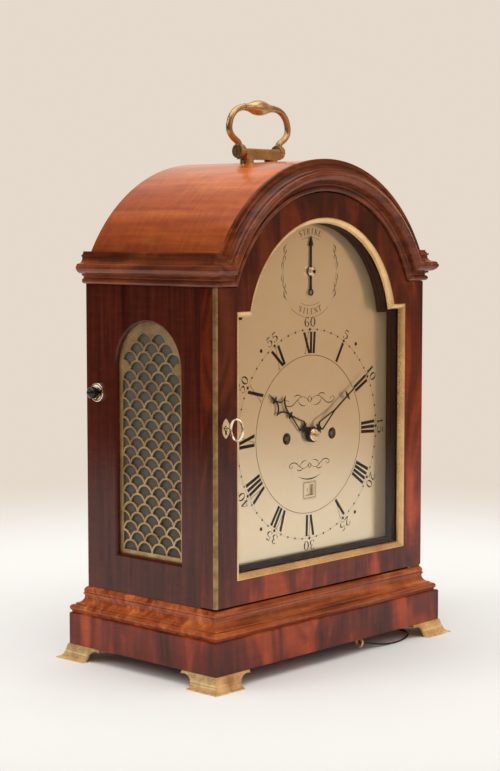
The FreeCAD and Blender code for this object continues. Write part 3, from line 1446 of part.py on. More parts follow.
def handle_base():
    """Bar on two round feet that follow the roof, with holes for studs and screws."""
    low = roof_top + of.handle_bar_lift
    bar = box("HandleBar", (2 * of.handle_bar_half_length, of.handle_bar_depth, of.handle_bar_height),
              (-of.handle_bar_half_length, case_middle - of.handle_bar_depth / 2, low))
    doc.recompute()
    top = float(low + of.handle_bar_height)
    rim = [number for number, edge in enumerate(bar.Shape.Edges, start=1)
           if edge.BoundBox.ZMin > top - float(of.handle_bar_round)]
    eased = doc.addObject("Part::Fillet", "HandleBarRound")
    eased.Base = bar
    eased.Edges = [(number, float(of.handle_bar_round), float(of.handle_bar_round)) for number in rim]
    foot_height = 2 * of.handle_bar_lift + of.handle_bar_round
    feet = []
    studs = []
    screws = []
    for name, sign in (("Left", -1), ("Right", 1)):
        x = sign * of.handle_foot_x
        feet.append(rod("HandleFoot" + name, of.handle_foot_radius, foot_height,
                        (x, case_middle, roof_top - of.handle_bar_lift), "z"))
        studs.append(rod("HandleStudHole" + name, of.handle_stud_radius, of.handle_stud_length,
                         (x, case_middle, handle_stud_low()), "z"))
        start = of.handle_bar_half_length - of.handle_pin_bite
        screws.append(rod("HandleScrewHole" + name, of.handle_pin_radius, of.handle_pin_bite + of.overrun,
                          (start if sign > 0 else -of.handle_bar_half_length - of.overrun, case_middle,
                           handle_pivot_z), "x"))
    roof = rod("HandleRoofCut", of.roof_radius, 2 * of.handle_bar_depth,
               (0, case_middle - of.handle_bar_depth, arch_centre), "y")
    solid = joined("HandleBarAndFeet", [eased] + feet)
    node("handle_base", cut("HandleBase", solid, [roof] + studs + screws))


LIMB_SHARES = (
    (0.657, 0.060),
    (0.675, 0.190),
    (0.880, 0.310),
    (0.983, 0.429),
    (1.000, 0.557),
    (0.943, 0.757),
    (0.814, 0.900),
    (0.660, 0.975),
    (0.500, 1.000),
    (0.300, 1.000),
)
# The grip's swelling: share of its radius, share of its half length.
GRIP_SHARES = (
    (0.00, -1.00),
    (0.46, -1.00),
    ((0.52, -0.76), (0.70, -0.52)),
    ((0.92, -0.27), (1.00, 0.00)),
    ((0.92, 0.27), (0.70, 0.52)),
    ((0.52, 0.76), (0.46, 1.00)),
    (0.00, 1.00),
)


def bail_limb(name, sign):
    """Bent rod from an eye into the grip."""
    half = sign * float(of.handle_half_width)
    reach = float(of.handle_reach)
    y = float(case_middle)
    z = float(handle_pivot_z)
    points = [Vector(across * half, y, z + rise * reach) for across, rise in LIMB_SHARES]
    return shaped(name, round_run(points, of.handle_limb_radius)[0])


def handle_bail():
    """Swelling handle between two eyes, with screw holes in the eyes."""
    grip = share_outline(GRIP_SHARES, of.handle_grip_radius, of.handle_half_width / 2)
    pieces = [turned("BailGrip", grip, (0, case_middle, handle_pivot_z + of.handle_reach), "x")]
    holes = []
    inner = of.handle_bar_half_length + of.handle_eye_gap
    outer = inner + of.handle_eye_width
    sink = of.handle_pin_head_depth + of.handle_eye_gap
    for name, sign in (("Left", -1), ("Right", 1)):
        pieces.append(bail_limb("BailLimb" + name, sign))
        start = inner if sign > 0 else -outer
        pieces.append(rod("BailEye" + name, of.handle_eye_radius, of.handle_eye_width,
                          (start, case_middle, handle_pivot_z), "x"))
        holes.append(rod("BailHole" + name, of.handle_pin_radius + of.running_clearance,
                         of.handle_eye_width + 2 * of.overrun,
                         (start - of.overrun, case_middle, handle_pivot_z), "x"))
        sink_start = outer - sink if sign > 0 else -outer - of.overrun
        holes.append(rod("BailSink" + name, of.handle_pin_head + of.handle_eye_gap, sink + of.overrun,
                         (sink_start, case_middle, handle_pivot_z), "x"))
    node("handle_bail", cut("HandleBail", joined("BailSolid", pieces), holes))


def handle_fixings():
    """Two screws through the eyes, two studs through the roof and their nuts."""
    pieces = []
    head_end = of.handle_bar_half_length + of.handle_eye_gap + of.handle_eye_width
    head_start = head_end - of.handle_pin_head_depth
    start = of.handle_bar_half_length - of.handle_pin_bite
    nut_reach = float(of.handle_foot_x) + float(of.handle_nut_radius)
    nut_top = arch_centre + as_size(math.sqrt(float(vault_inner_radius) ** 2 - nut_reach ** 2))
    slot_depth = of.handle_pin_head_depth / 2
    slot_length = 2 * of.handle_pin_head + 2 * of.overrun
    shank_end = head_end - slot_depth
    for name, sign in (("Left", -1), ("Right", 1)):
        shank = rod("ScrewShank" + name, of.handle_pin_radius, shank_end - start,
                    (start if sign > 0 else -shank_end, case_middle, handle_pivot_z), "x")
        head = rod("ScrewHead" + name, of.handle_pin_head, of.handle_pin_head_depth,
                   (head_start if sign > 0 else -head_end, case_middle, handle_pivot_z), "x")
        slot_start = shank_end if sign > 0 else -head_end - of.overrun
        slot = box("ScrewSlot" + name, (slot_depth + of.overrun, of.handle_slot_width, slot_length),
                   (slot_start, case_middle - of.handle_slot_width / 2, handle_pivot_z - slot_length / 2))
        pieces.append(cut("Screw" + name, joined("ScrewSolid" + name, [shank, head]), [slot]))
        stud = rod("Stud" + name, of.handle_stud_radius, of.handle_stud_length,
                   (sign * of.handle_foot_x, case_middle, handle_stud_low()), "z")
        nut = doc.addObject("Part::Prism", "Nut" + name)
        nut.Polygon = 6
        bind(nut, "Circumradius", of.handle_nut_radius)
        bind(nut, "Height", of.handle_nut_height)
        place(nut, (sign * of.handle_foot_x, case_middle, nut_top - of.handle_nut_height))
        pieces.append(joined("StudAndNut" + name, [stud, nut]))
    node("handle_fixings", together("HandleFixings", pieces))


# Pull repeat

# Middle of the dish's slope, as shares of the lip's radius and of the dish's depth.
DISH_SHARES = (0.6, 0.8)


def repeat_ferrule():
    """Dished rosette and the pipe that lines the hole in the side."""
    hole = float(of.repeat_line_radius + of.running_clearance)
    rim = float(of.ferrule_radius)
    proud = float(of.ferrule_proud)
    dish = float(of.ferrule_dish)
    pipe = float(of.ferrule_pipe_radius)
    depth = float(of.ferrule_proud + of.side_thickness - of.fret_reveal)
    lip = rim - dish / 2
    slope = (DISH_SHARES[0] * lip, DISH_SHARES[1] * dish)
    outline = curve_list((hole, dish), (slope, (lip - dish / 2, 0)), (lip, 0),
                         ((rim - dish / 8, dish / 8), (rim, dish / 2)), (rim, proud), (pipe, proud),
                         (pipe, depth), (hole, depth))
    node("repeat_ferrule", turned("RepeatFerrule", outline,
                                  (-side_outer - of.ferrule_proud, repeat_y, repeat_z), "x"))


def repeat_toggle():
    """Round pull, its line through the case side and the knot inside, turned as one."""
    ball = float(of.toggle_radius)
    line = float(of.repeat_line_radius)
    knot = float(of.repeat_bead_radius)
    tip_x = of.ferrule_dish - of.toggle_gap - 2 * of.toggle_radius - side_outer - of.ferrule_proud
    knot_at = float(of.repeat_line_inside - side_inner - tip_x)
    ball_lean = (math.pi / 2 + math.asin(line / ball)) / 2
    knot_lean = (math.pi / 2 + math.asin(line / knot)) / 2
    diagonal = math.sqrt(0.5)
    outline = curve_list(
        (0, 0),
        ((ball * diagonal, ball - ball * diagonal), (ball, ball)),
        ((ball * math.sin(ball_lean), ball + ball * math.cos(ball_lean)),
         (line, ball + math.sqrt(ball ** 2 - line ** 2))),
        (line, knot_at - math.sqrt(knot ** 2 - line ** 2)),
        ((knot * math.sin(knot_lean), knot_at - knot * math.cos(knot_lean)), (knot, knot_at)),
        ((knot * diagonal, knot_at + knot * diagonal), (0, knot_at + knot)))
    node("repeat_toggle", turned("RepeatToggle", outline, (tip_x, repeat_y, repeat_z), "x"))


# Ring and line under the base

def base_ring():
    x, y, z = base_ring_at()
    ring = doc.addObject("Part::Torus", "RingWire")
    bind(ring, "Radius1", of.base_ring_radius)
    bind(ring, "Radius2", of.base_ring_wire)
    place(ring, (x, y, z), CYLINDER_ALONG["x"])
    shank = rod("RingShank", of.base_ring_wire, of.base_ring_shank, (x, y, z + of.base_ring_radius), "z")
    node("base_ring", joined("BaseRing", [ring, shank]))


# Places that the line passes: right of the ring, behind it and above the floor,
# as shares of how far the line reaches to the right, to the back and upwards.
LINE_SHARES = (
    (0.000, 0.000, 0.170),
    (0.148, -0.018, 0.100),
    (0.296, -0.064, 0.031),
    (0.432, -0.084, 0.000),
    (0.568, -0.087, 0.000),
    (0.704, -0.036, 0.000),
    (0.827, 0.045, 0.000),
    (0.926, 0.145, 0.000),
    (0.994, 0.273, 0.000),
    (1.000, 0.418, 0.000),
    (0.914, 0.636, 0.000),
    (0.790, 0.782, 0.000),
    (0.691, 0.891, 0.058),
    (0.617, 0.964, 0.335),
    (0.580, 1.000, 0.668),
    (0.568, 1.000, 1.000),
)


def line_route():
    x, y, z = [float(value) for value in base_ring_at()]
    low = float(of.line_radius)
    rise = float(plinth_top) - low
    return [Vector(x + share[0] * float(of.line_reach_right), y + share[1] * float(of.line_reach_back),
                   low + share[2] * rise) for share in LINE_SHARES]


def floor_cord():
    """Round line of straight runs joined by tangent arcs."""
    line, length, radii = round_run(line_route(), of.line_radius)
    expected = math.pi * float(of.line_radius) ** 2 * length
    print("line radii:", " ".join("%.1f" % radius for radius in radii))
    print("line length %.1f, volume %.2f of %.2f" % (length, line.Volume, expected))
    node("floor_cord", shaped("FloorLine", line))


# Dial

def dial_plate():
    """Dial with its holes; the date disc turns on a stud at its back."""
    round_holes = (
        (0, as_size(0), of.hour_pipe_radius + of.dial_fit),
        (-of.winding_x, -of.winding_drop, of.winding_hole_radius),
        (of.winding_x, -of.winding_drop, of.winding_hole_radius),
        (-of.dial_foot_x, of.dial_foot_drop, of.dial_rivet_radius),
        (of.dial_foot_x, of.dial_foot_drop, of.dial_rivet_radius),
        (-of.dial_foot_x, -of.dial_foot_drop, of.dial_rivet_radius),
        (of.dial_foot_x, -of.dial_foot_drop, of.dial_rivet_radius),
        (0, of.strike_centre_height - of.dial_centre_height, of.strike_arbor_radius + of.running_clearance),
    )
    outlines = [dial_outline(as_size(0))]
    for x, rise, radius in round_holes:
        outlines.append(circle_list(radius, (x, hands_height + rise)))
    half = float(of.date_window_width) / 2
    low = float(hands_height - of.date_drop - of.date_window_height / 2)
    high = float(hands_height - of.date_drop + of.date_window_height / 2)
    outlines.append(curve_list((-half, low), (half, low), (half, high), (-half, high)))
    board = plate("DialBoard", outlines, of.dial_thickness, (0, dial_front, 0), "front")
    stud_z = hands_height - of.date_drop - of.date_number_radius
    stud_length = of.date_disc_gap + 2 * of.date_disc_thickness + of.dial_thickness
    stud = rod("DateStud", of.date_stud_radius, stud_length,
               (0, dial_back - of.dial_thickness / 2, stud_z), "y")
    cap_y = dial_back + 2 * of.date_disc_gap + of.date_disc_thickness
    cap = rod("DateStudCap", 2 * of.date_stud_radius, of.date_disc_thickness, (0, cap_y, stud_z), "y")
    node("dial_plate", joined("DialPlate", [board, stud, cap]))


def dial_feet():
    feet = []
    shoulder = float(of.dial_thickness)
    end = float(of.dial_thickness + of.plate_gap)
    outline = curve_list((0, 0), (of.dial_rivet_radius, 0), (of.dial_rivet_radius, shoulder),
                         (of.dial_foot_radius, shoulder), (of.dial_foot_radius, end), (0, end))
    for name, side_sign, end_sign in (("UpperLeft", -1, 1), ("UpperRight", 1, 1), ("LowerLeft", -1, -1),
                                      ("LowerRight", 1, -1)):
        x = side_sign * of.dial_foot_x
        z = hands_height + end_sign * of.dial_foot_drop
        feet.append(turned("DialFoot" + name, outline, (x, dial_front, z), "y"))
    node("dial_feet", together("DialFeet", feet))


DATE_TEETH = 31
DATE_TOOTH_SHARE = 0.05


def date_disc():
    stud_z = hands_height - of.date_drop - of.date_number_radius
    outlines = [toothed(DATE_TEETH, of.date_disc_radius, DATE_TOOTH_SHARE),
                circle_list(of.date_stud_radius + of.running_clearance)]
    node("date_disc", plate("DateDisc", outlines, of.date_disc_thickness,
                            (0, dial_back + of.date_disc_gap, stud_z), "front"))


def mirrored_outline(shares, width, length):
    """Closed outline from its right-hand half, lowest point first, given as shares."""
    half = float(width) / 2
    length = float(length)

    def right(pair):
        return (pair[0] * half, pair[1] * length)

    def left(pair):
        return (-pair[0] * half, pair[1] * length)

    steps = []
    ends = []
    for share in shares:
        if isinstance(share[0], tuple):
            steps.append((right(share[0]), right(share[1])))
            ends.append((share[0], share[1]))
        else:
            steps.append(right(share))
            ends.append((None, share))
    back = []
    for number in range(len(ends) - 1, 0, -1):
        middle = ends[number][0]
        target = left(ends[number - 1][1])
        back.append((left(middle), target) if middle else target)
    return curve_list(*steps, *back)


HOUR_HAND_SHARES = (
    (0.30, 0.085),
    (0.22, 0.150),
    (0.50, 0.166),
    (0.22, 0.182),
    ((0.43, 0.193), (0.48, 0.222)),
    ((0.28, 0.335), (0.09, 0.470)),
    (0.35, 0.486),
    (0.09, 0.510),
    ((0.40, 0.650), (1.00, 0.715)),
    ((0.36, 0.745), (0.09, 0.835)),
    (0.37, 0.860),
    (0.08, 0.868),
    (0.02, 1.000),
)
HOUR_PEAR_SHARES = (
    (0.00, 0.196),
    ((0.32, 0.204), (0.39, 0.226)),
    ((0.19, 0.335), (0.00, 0.450)),
)
HOUR_LOZENGE_SHARES = (
    (0.00, 0.545),
    ((0.29, 0.658), (0.80, 0.715)),
    ((0.26, 0.738), (0.00, 0.805)),
)
MINUTE_HAND_SHARES = (
    (0.50, 0.055),
    (0.30, 0.082),
    (1.00, 0.090),
    (0.30, 0.106),
    ((0.72, 0.116), (0.82, 0.140)),
    ((0.46, 0.250), (0.13, 0.350)),
    (0.11, 0.555),
    (0.95, 0.570),
    (0.10, 0.580),
    (0.03, 1.000),
)
MINUTE_PEAR_SHARES = (
    (0.00, 0.120),
    ((0.48, 0.126), (0.62, 0.146)),
    ((0.28, 0.250), (0.00, 0.335)),
)


def hand(name, outlines, bore, y, angle):
    """Flat hand with a round boss, turned clockwise from twelve by its angle."""
    pose = Rotation(Vector(0, 1, 0), angle) * FACING["front"]
    blade = plate(name + "Blade", outlines, of.hand_thickness, (0, y, hands_height), "front")
    place(blade, (0, y + of.hand_thickness, hands_height), pose)
    boss = rod(name + "Boss", of.hand_boss_radius, of.hand_thickness, (0, y, hands_height), "y")
    hole = rod(name + "Bore", bore, of.hand_thickness + 2 * of.overrun,
               (0, y - of.overrun, hands_height), "y")
    return cut(name, joined(name + "Solid", [blade, boss]), [hole])


def hour_hand_front():
    return dial_front - of.hand_gap - of.hand_thickness


def minute_hand_front():
    return hour_hand_front() - of.hand_gap - of.hand_thickness


def hands():
    outlines = [mirrored_outline(shares, of.hour_hand_width, of.hour_hand_length)
                for shares in (HOUR_HAND_SHARES, HOUR_PEAR_SHARES, HOUR_LOZENGE_SHARES)]
    node("hour_hand", hand("HourHand", outlines, of.hour_pipe_radius, hour_hand_front(), HOUR_HAND_ANGLE))
    outlines = [mirrored_outline(shares, of.minute_hand_width, of.minute_hand_length)
                for shares in (MINUTE_HAND_SHARES, MINUTE_PEAR_SHARES)]
    node("minute_hand", hand("MinuteHand", outlines, of.centre_arbor_radius, minute_hand_front(),
                             MINUTE_HAND_ANGLE))


COLLET_SHARES = (
    (0.50, 0.00),
    ((0.57, 0.02), (0.60, 0.14)),
    (0.72, 0.14),
    ((0.88, 0.17), (1.00, 0.46)),
    (1.00, 1.00),
)


def collet_outline(radius, height, bore):
    """Half section of a collet: raised middle, then a rounded shoulder, about a bore."""
    def at(point):
        return point[0] * float(radius), point[1] * float(height)
    steps = [(float(bore), 0)]
    for step in COLLET_SHARES:
        steps.append((at(step[0]), at(step[1])) if isinstance(step[0], tuple) else at(step))
    return curve_list(*steps, (float(bore), float(height)))


def hand_collet():
    """Collet in front of the minute hand, bored for the arbor."""
    outline = collet_outline(of.collet_radius, of.collet_height, of.centre_arbor_radius)
    front = minute_hand_front() - of.collet_height
    node("hand_collet", turned("HandCollet", outline, (0, front, hands_height), "y"))


ARROW_SHARES = (
    (0.27, 0.00),
    (0.27, 0.74),
    (1.00, 0.72),
    (0.00, 1.00),
)


def strike_hand():
    """Small hand with an arrow head and a ringed tail, its boss, arbor and the lever behind."""
    z = door_bottom + of.strike_centre_height
    back = dial_front - of.hand_gap / 2
    front = back - of.hand_thickness
    bar = float(of.strike_hand_bar)
    ring_z = -float(of.strike_tail_length - of.strike_ring_radius)
    arrow_outline = mirrored_outline(ARROW_SHARES, of.strike_hand_head, of.strike_hand_length)
    arrow = plate("StrikeArrow", [arrow_outline], of.hand_thickness, (0, front, z), "front")
    tail_low = ring_z + bar
    tail_outline = curve_list((-bar / 2, 0), (-bar / 2, tail_low), (bar / 2, tail_low), (bar / 2, 0))
    tail = plate("StrikeTail", [tail_outline], of.hand_thickness, (0, front, z), "front")
    ring = plate("StrikeRing", [circle_list(of.strike_ring_radius, (0, ring_z)),
                                circle_list(of.strike_ring_radius - of.hand_thickness, (0, ring_z))],
                 of.hand_thickness, (0, front, z), "front")
    boss = rod("StrikeBoss", of.strike_boss_radius, of.hand_thickness, (0, front, z), "y")
    collet_front = front - of.strike_collet_height
    arbor_back = dial_back + of.strike_arbor_length
    arbor = rod("StrikeArbor", of.strike_arbor_radius, arbor_back - collet_front, (0, collet_front, z), "y")
    lever = box("StrikeLever", (2 * of.strike_arbor_radius, of.hand_thickness, of.strike_lever),
                (-of.strike_arbor_radius, arbor_back - 2 * of.hand_thickness, z))
    node("strike_hand", joined("StrikeHand", [arrow, tail, ring, boss, arbor, lever]))
    outline = collet_outline(of.strike_boss_radius, of.strike_collet_height, of.strike_arbor_radius)
    node("strike_collet", turned("StrikeCollet", outline, (0, collet_front, z), "y"))


# Movement: plates and pillars. Wheels are placed by the distances at which their
# tips just clear; x to the right of the hands' arbor, z above it.

GREAT_RATIO = 12
CENTRE_RATIO = 8
THIRD_RATIO = 7.5
MOTION_RATIO = 3
HOUR_RATIO = 4

great_distance = math.hypot(float(of.winding_x), float(of.winding_drop)) - float(of.mesh_clearance)
centre_pinion = as_size(great_distance / (1 + GREAT_RATIO))
great_wheel = centre_pinion * GREAT_RATIO
third_pinion = of.centre_wheel_radius / CENTRE_RATIO
escape_pinion = of.third_wheel_radius / THIRD_RATIO
third_reach = float(of.centre_wheel_radius + third_pinion + of.mesh_clearance)
third_rise = as_size(math.sqrt(third_reach ** 2 - float(of.third_x) ** 2))
escape_reach = float(of.third_wheel_radius + escape_pinion + of.mesh_clearance)
escape_rise = third_rise + as_size(math.sqrt(escape_reach ** 2 - float(of.third_x) ** 2))
pallet_height = hands_height + escape_rise + of.pallet_rise
motion_reach = of.motion_distance - of.mesh_clearance
cannon_pinion = motion_reach / (1 + MOTION_RATIO)
minute_wheel_radius = cannon_pinion * MOTION_RATIO
motion_pinion = motion_reach / (1 + HOUR_RATIO)
hour_wheel_radius = motion_pinion * HOUR_RATIO
barrel_height = hands_height - of.barrel_drop
hammer_height = hands_height + of.hammer_rise


def arbor_holes():
    """Every arbor that runs in both plates: x, height and radius."""
    return (
        (as_size(0), hands_height, of.centre_arbor_radius),
        (-of.winding_x, winding_height, of.arbor_radius),
        (of.winding_x, winding_height, of.arbor_radius),
        (-of.barrel_x, barrel_height, of.arbor_radius),
        (of.barrel_x, barrel_height, of.arbor_radius),
        (of.third_x, hands_height + third_rise, of.train_arbor_radius),
        (as_size(0), hands_height + escape_rise, of.train_arbor_radius),
        (as_size(0), pallet_height, of.train_arbor_radius),
        (-of.hammer_x, hammer_height, of.train_arbor_radius),
    )


def movement_plate(name, front):
    half = float(of.plate_half_width)
    low = float(plate_bottom)
    high = float(plate_top)
    outlines = [curve_list((-half, low), (half, low), (half, high), (-half, high))]
    for x, z, radius in arbor_holes():
        outlines.append(circle_list(radius + of.arbor_clearance, (x, z)))
    return plate(name, outlines, of.plate_thickness, (0, front, 0), "front")


def plates():
    """Front plate with the stud of the motion wheel, back plate with the pallet cock."""
    stud_front = dial_back + of.hour_wheel_gap / 2
    stud = rod("MotionStud", of.motion_stud_radius, front_plate_front - stud_front + of.plate_thickness / 2,
               (0, stud_front, hands_height + of.motion_distance), "y")
    node("plate_front", joined("PlateFront", [movement_plate("FrontPlateSheet", front_plate_front), stud]))
    low = pallet_height - of.cock_height / 2
    block = box("CockBlock", (of.cock_width, of.cock_reach, of.cock_height),
                (-of.cock_width / 2, back_plate_back, low))
    inner = of.cock_width - 2 * of.cock_thickness
    hollow = box("CockHollow", (inner, of.cock_reach - of.cock_thickness + of.overrun,
                                of.cock_height - of.cock_thickness + of.overrun),
                 (-inner / 2, back_plate_back - of.overrun, low - of.overrun))
    hole = rod("CockHole", of.train_arbor_radius + of.arbor_clearance, 2 * of.cock_reach,
               (0, back_plate_back, pallet_height), "y")
    cock = cut("Cock", block, [hollow, hole])
    node("plate_back", joined("PlateBack", [movement_plate("BackPlateSheet", back_plate_front), cock]))


PILLAR_SHARES = (
    (0.00, 0.00),
    (1.00, 0.00),
    (1.00, 0.08),
    ((0.74, 0.12), (0.71, 0.18)),
    (0.71, 0.44),
    ((0.98, 0.47), (0.98, 0.53)),
    (0.71, 0.56),
    (0.71, 0.82),
    ((0.74, 0.88), (1.00, 0.92)),
    (1.00, 1.00),
    (0.00, 1.00),
)


def pillars():
    outline = share_outline(PILLAR_SHARES, of.pillar_radius, of.plate_spacing)
    x = of.plate_half_width - of.pillar_inset
    low = plate_bottom + of.pillar_inset
    high = plate_top - of.pillar_inset
    spots = (("LowerLeft", -x, low), ("LowerMiddle", as_size(0), low), ("LowerRight", x, low),
             ("UpperLeft", -x, high), ("UpperRight", x, high))
    node("pillars", together("Pillars", [turned("Pillar" + name, outline, (px, front_plate_back, pz), "y")
                                         for name, px, pz in spots]))


# Wheels, fusees and barrels

# Depth of a wheel's teeth, as a share of its radius for one tooth.
TOOTH_DEPTH_SHARE = 4.4
CROSSING_REACH_SHARE = 0.56
CROSSING_RADIUS_SHARE = 0.24


def stepped(name, runs, at, along="y", bore=0.0):
    """Turned piece of plain runs one after the other: (radius, length)."""
    points = []
    start = 0.0
    for radius, length in runs:
        points.append((float(radius), start))
        points.append((float(radius), start + float(length)))
        start += float(length)
    return turned(name, curve_list((float(bore), 0), *points, (float(bore), start)), at, along)


def gear(name, teeth, radius, thickness, at, bore=None, crossings=0):
    """Toothed wheel, with round crossings between its rim and its arbor."""
    outlines = [toothed(teeth, radius, TOOTH_DEPTH_SHARE / teeth)]
    if bore is not None:
        outlines.append(circle_list(bore))
    for crossing in range(crossings):
        angle = 2 * math.pi * crossing / crossings
        middle = float(radius) * CROSSING_REACH_SHARE
        outlines.append(circle_list(float(radius) * CROSSING_RADIUS_SHARE,
                                    (middle * math.cos(angle), middle * math.sin(angle))))
    return plate(name, outlines, thickness, at, "front")


FUSEE_TURNS = 8
LIFTING_PINS = 8


def fusee_outline():
    """Grooved cone: the groove's radius falls as the spring runs down."""
    large = float(of.fusee_large_radius)
    small = float(of.fusee_small_radius)
    length = float(of.fusee_length)
    groove = float(of.fusee_groove)
    steps = 2 * FUSEE_TURNS
    points = [(0, 0)]
    for step in range(steps + 1):
        share = step / steps
        radius = large * small / (small + (large - small) * share)
        points.append((radius - (groove if step % 2 else 0), share * length))
    points.append((0, length))
    return curve_list(*points)


def great_wheel_front():
    return front_plate_back + of.end_shake


def fusee(label, name, x, pins=0):
    """Great wheel, grooved cone and arbor with its winding square."""
    wheel_front = great_wheel_front()
    cone_front = wheel_front + 2 * of.wheel_thickness - of.mesh_clearance
    pieces = [
        gear(name + "Wheel", 96, great_wheel, of.wheel_thickness, (x, wheel_front, winding_height)),
        rod(name + "Hub", 2 * of.arbor_radius, 2 * of.wheel_thickness, (x, wheel_front, winding_height), "y"),
        turned(name + "Cone", fusee_outline(), (x, cone_front, winding_height), "y"),
    ]
    square_front = dial_front + of.square_inset
    round_front = front_plate_front - of.motion_wheel_gap
    half = of.winding_square / 2
    pieces.append(box(name + "Square", (of.winding_square, round_front - square_front, of.winding_square),
                      (x - half, square_front, winding_height - half)))
    pieces.append(rod(name + "Arbor", of.arbor_radius, back_plate_back - round_front,
                      (x, round_front, winding_height), "y"))
    for pin in range(pins):
        angle = 2 * math.pi * (pin + 0.5) / pins
        reach = great_wheel - of.lifting_pin_inset
        pieces.append(rod("%sPin%d" % (name, pin), of.lifting_pin_radius, of.lifting_pin_length,
                          (x + reach * math.cos(angle), wheel_front - of.lifting_pin_length,
                           winding_height + reach * math.sin(angle)), "y"))
    node(label, joined(name, pieces))


def barrel(label, name, x):
    """Spring barrel with a rim at each end, on its arbor."""
    front = great_wheel_front() + of.end_shake
    inset = of.barrel_cap
    node(label, stepped(name, [
        (of.arbor_radius, front - front_plate_front),
        (of.barrel_radius, of.barrel_cap),
        (of.barrel_radius - inset, of.barrel_length - 2 * of.barrel_cap),
        (of.barrel_radius, of.barrel_cap),
        (of.arbor_radius, back_plate_back - front - of.barrel_length),
    ], (x, front_plate_front, barrel_height)))


def centre_wheel_front():
    return back_plate_front - of.end_shake - 4 * of.train_wheel_thickness - of.arbor_radius * 2


def cannon_front():
    return front_plate_front - of.motion_wheel_gap - of.train_wheel_thickness


def centre_wheel():
    """Arbor of the hands with its cannon, pinion and wheel."""
    tip = minute_hand_front() - of.collet_height - of.arbor_tip_length
    cannon_start = minute_hand_front() + of.hand_thickness
    wheel_front = centre_wheel_front()
    pieces = [
        rod("CentreArbor", of.centre_arbor_radius, back_plate_back - tip, (0, tip, hands_height), "y"),
        rod("CannonPipe", of.cannon_radius, front_plate_front - of.running_clearance - cannon_start,
            (0, cannon_start, hands_height), "y"),
        gear("CannonPinion", 20, cannon_pinion, of.train_wheel_thickness,
             (0, cannon_front(), hands_height)),
        gear("CentrePinion", 8, centre_pinion, of.pinion_length,
             (0, great_wheel_front() - of.mesh_clearance, hands_height)),
        gear("CentreWheelDisc", 64, of.centre_wheel_radius, of.train_wheel_thickness,
             (0, wheel_front, hands_height), None, 5),
    ]
    node("centre_wheel", joined("CentreWheel", pieces))


def train_wheel(label, name, x, rise, teeth, radius, pinion, pinion_front, wheel_front, crossings):
    at_z = hands_height + rise
    pieces = [
        rod(name + "Arbor", of.train_arbor_radius, back_plate_back - front_plate_front,
            (x, front_plate_front, at_z), "y"),
        gear(name + "Pinion", 8, pinion, of.pinion_length, (x, pinion_front, at_z)),
        gear(name + "Disc", teeth, radius, of.train_wheel_thickness,
             (x, wheel_front, at_z), None, crossings),
    ]
    node(label, joined(name, pieces))


def train():
    first = centre_wheel_front()
    room = (of.pinion_length - of.train_wheel_thickness) / 2
    third_front = first + of.pinion_length
    escape_front = third_front + of.pinion_length
    train_wheel("third_wheel", "ThirdWheel", of.third_x, third_rise, 60, of.third_wheel_radius,
                third_pinion, first - room, third_front, 5)
    train_wheel("escape_wheel", "EscapeWheel", as_size(0), escape_rise, 30, of.escape_wheel_radius,
                escape_pinion, third_front - room, escape_front, 4)


BOB_SHARES = (
    (0.00, 0.00),
    (0.50, 0.00),
    ((0.86, 0.14), (1.00, 0.50)),
    ((0.86, 0.86), (0.50, 1.00)),
    (0.00, 1.00),
)


def pendulum():
    """Pallets, arbor, rod, bob and nut that swing together."""
    pallets_front = centre_wheel_front() + 2 * of.pinion_length - of.train_wheel_thickness / 4
    thickness = 1.5 * of.train_wheel_thickness
    inner = float(of.escape_wheel_radius + of.pallet_clearance)
    outer = inner + float(of.pallet_thickness)
    span = math.radians(float(of.pallet_half_span))
    drop = -float(of.pallet_rise)

    def on_arc(radius, angle):
        return (radius * math.sin(angle), drop + radius * math.cos(angle))

    arc = curve_list(on_arc(inner, -span), on_arc(outer, -span), (on_arc(outer, 0), on_arc(outer, span)),
                     on_arc(inner, span), (on_arc(inner, 0), on_arc(inner, -span)))
    rod_y = back_plate_back + of.pendulum_gap
    low = pallet_height - of.pendulum_length
    end = low - of.bob_radius - of.rating_nut_height - of.pendulum_rod_end
    pieces = [
        plate("Pallets", [arc], thickness, (0, pallets_front, pallet_height), "front"),
        rod("PalletBoss", 2 * of.train_arbor_radius, thickness, (0, pallets_front, pallet_height), "y"),
        rod("PalletArbor", of.train_arbor_radius, back_plate_back + of.cock_reach - front_plate_front,
            (0, front_plate_front, pallet_height), "y"),
        rod("PendulumRod", of.pendulum_rod_radius, pallet_height - end, (0, rod_y, end), "z"),
        rod("RatingNut", of.rating_nut_radius, of.rating_nut_height,
            (0, rod_y, low - of.bob_radius - of.rating_nut_height), "z"),
        turned("Bob", share_outline(BOB_SHARES, of.bob_radius, of.bob_thickness),
               (0, rod_y - of.bob_thickness / 2, low), "y"),
    ]
    node("pendulum", joined("Pendulum", pieces))


# Motion work behind the dial

def hour_wheel():
    front = dial_back + of.hour_wheel_gap
    pipe_front = hour_hand_front()
    bore = of.cannon_radius + of.running_clearance
    disc = gear("HourWheelDisc", 60, hour_wheel_radius, of.train_wheel_thickness, (0, front, hands_height),
                bore, 5)
    pipe = stepped("HourPipe", [(of.hour_pipe_radius, front + of.train_wheel_thickness - pipe_front)],
                   (0, pipe_front, hands_height), "y", bore)
    node("hour_wheel", joined("HourWheel", [disc, pipe]))


def minute_wheel():
    z = hands_height + of.motion_distance
    bore = of.motion_stud_radius + of.running_clearance
    disc_front = cannon_front()
    pinion_front = dial_back + of.hour_wheel_gap - of.train_wheel_thickness / 2
    disc = gear("MinuteWheelDisc", 60, minute_wheel_radius, of.train_wheel_thickness,
                (0, disc_front, z), bore, 5)
    pinion = gear("MinuteWheelPinion", 15, motion_pinion, disc_front - pinion_front,
                  (0, pinion_front, z), bore)
    node("minute_wheel", joined("MinuteWheel", [disc, pinion]))


# Bell and hammer

def bell_y():
    return back_plate_back - of.bell_gap - of.bell_radius


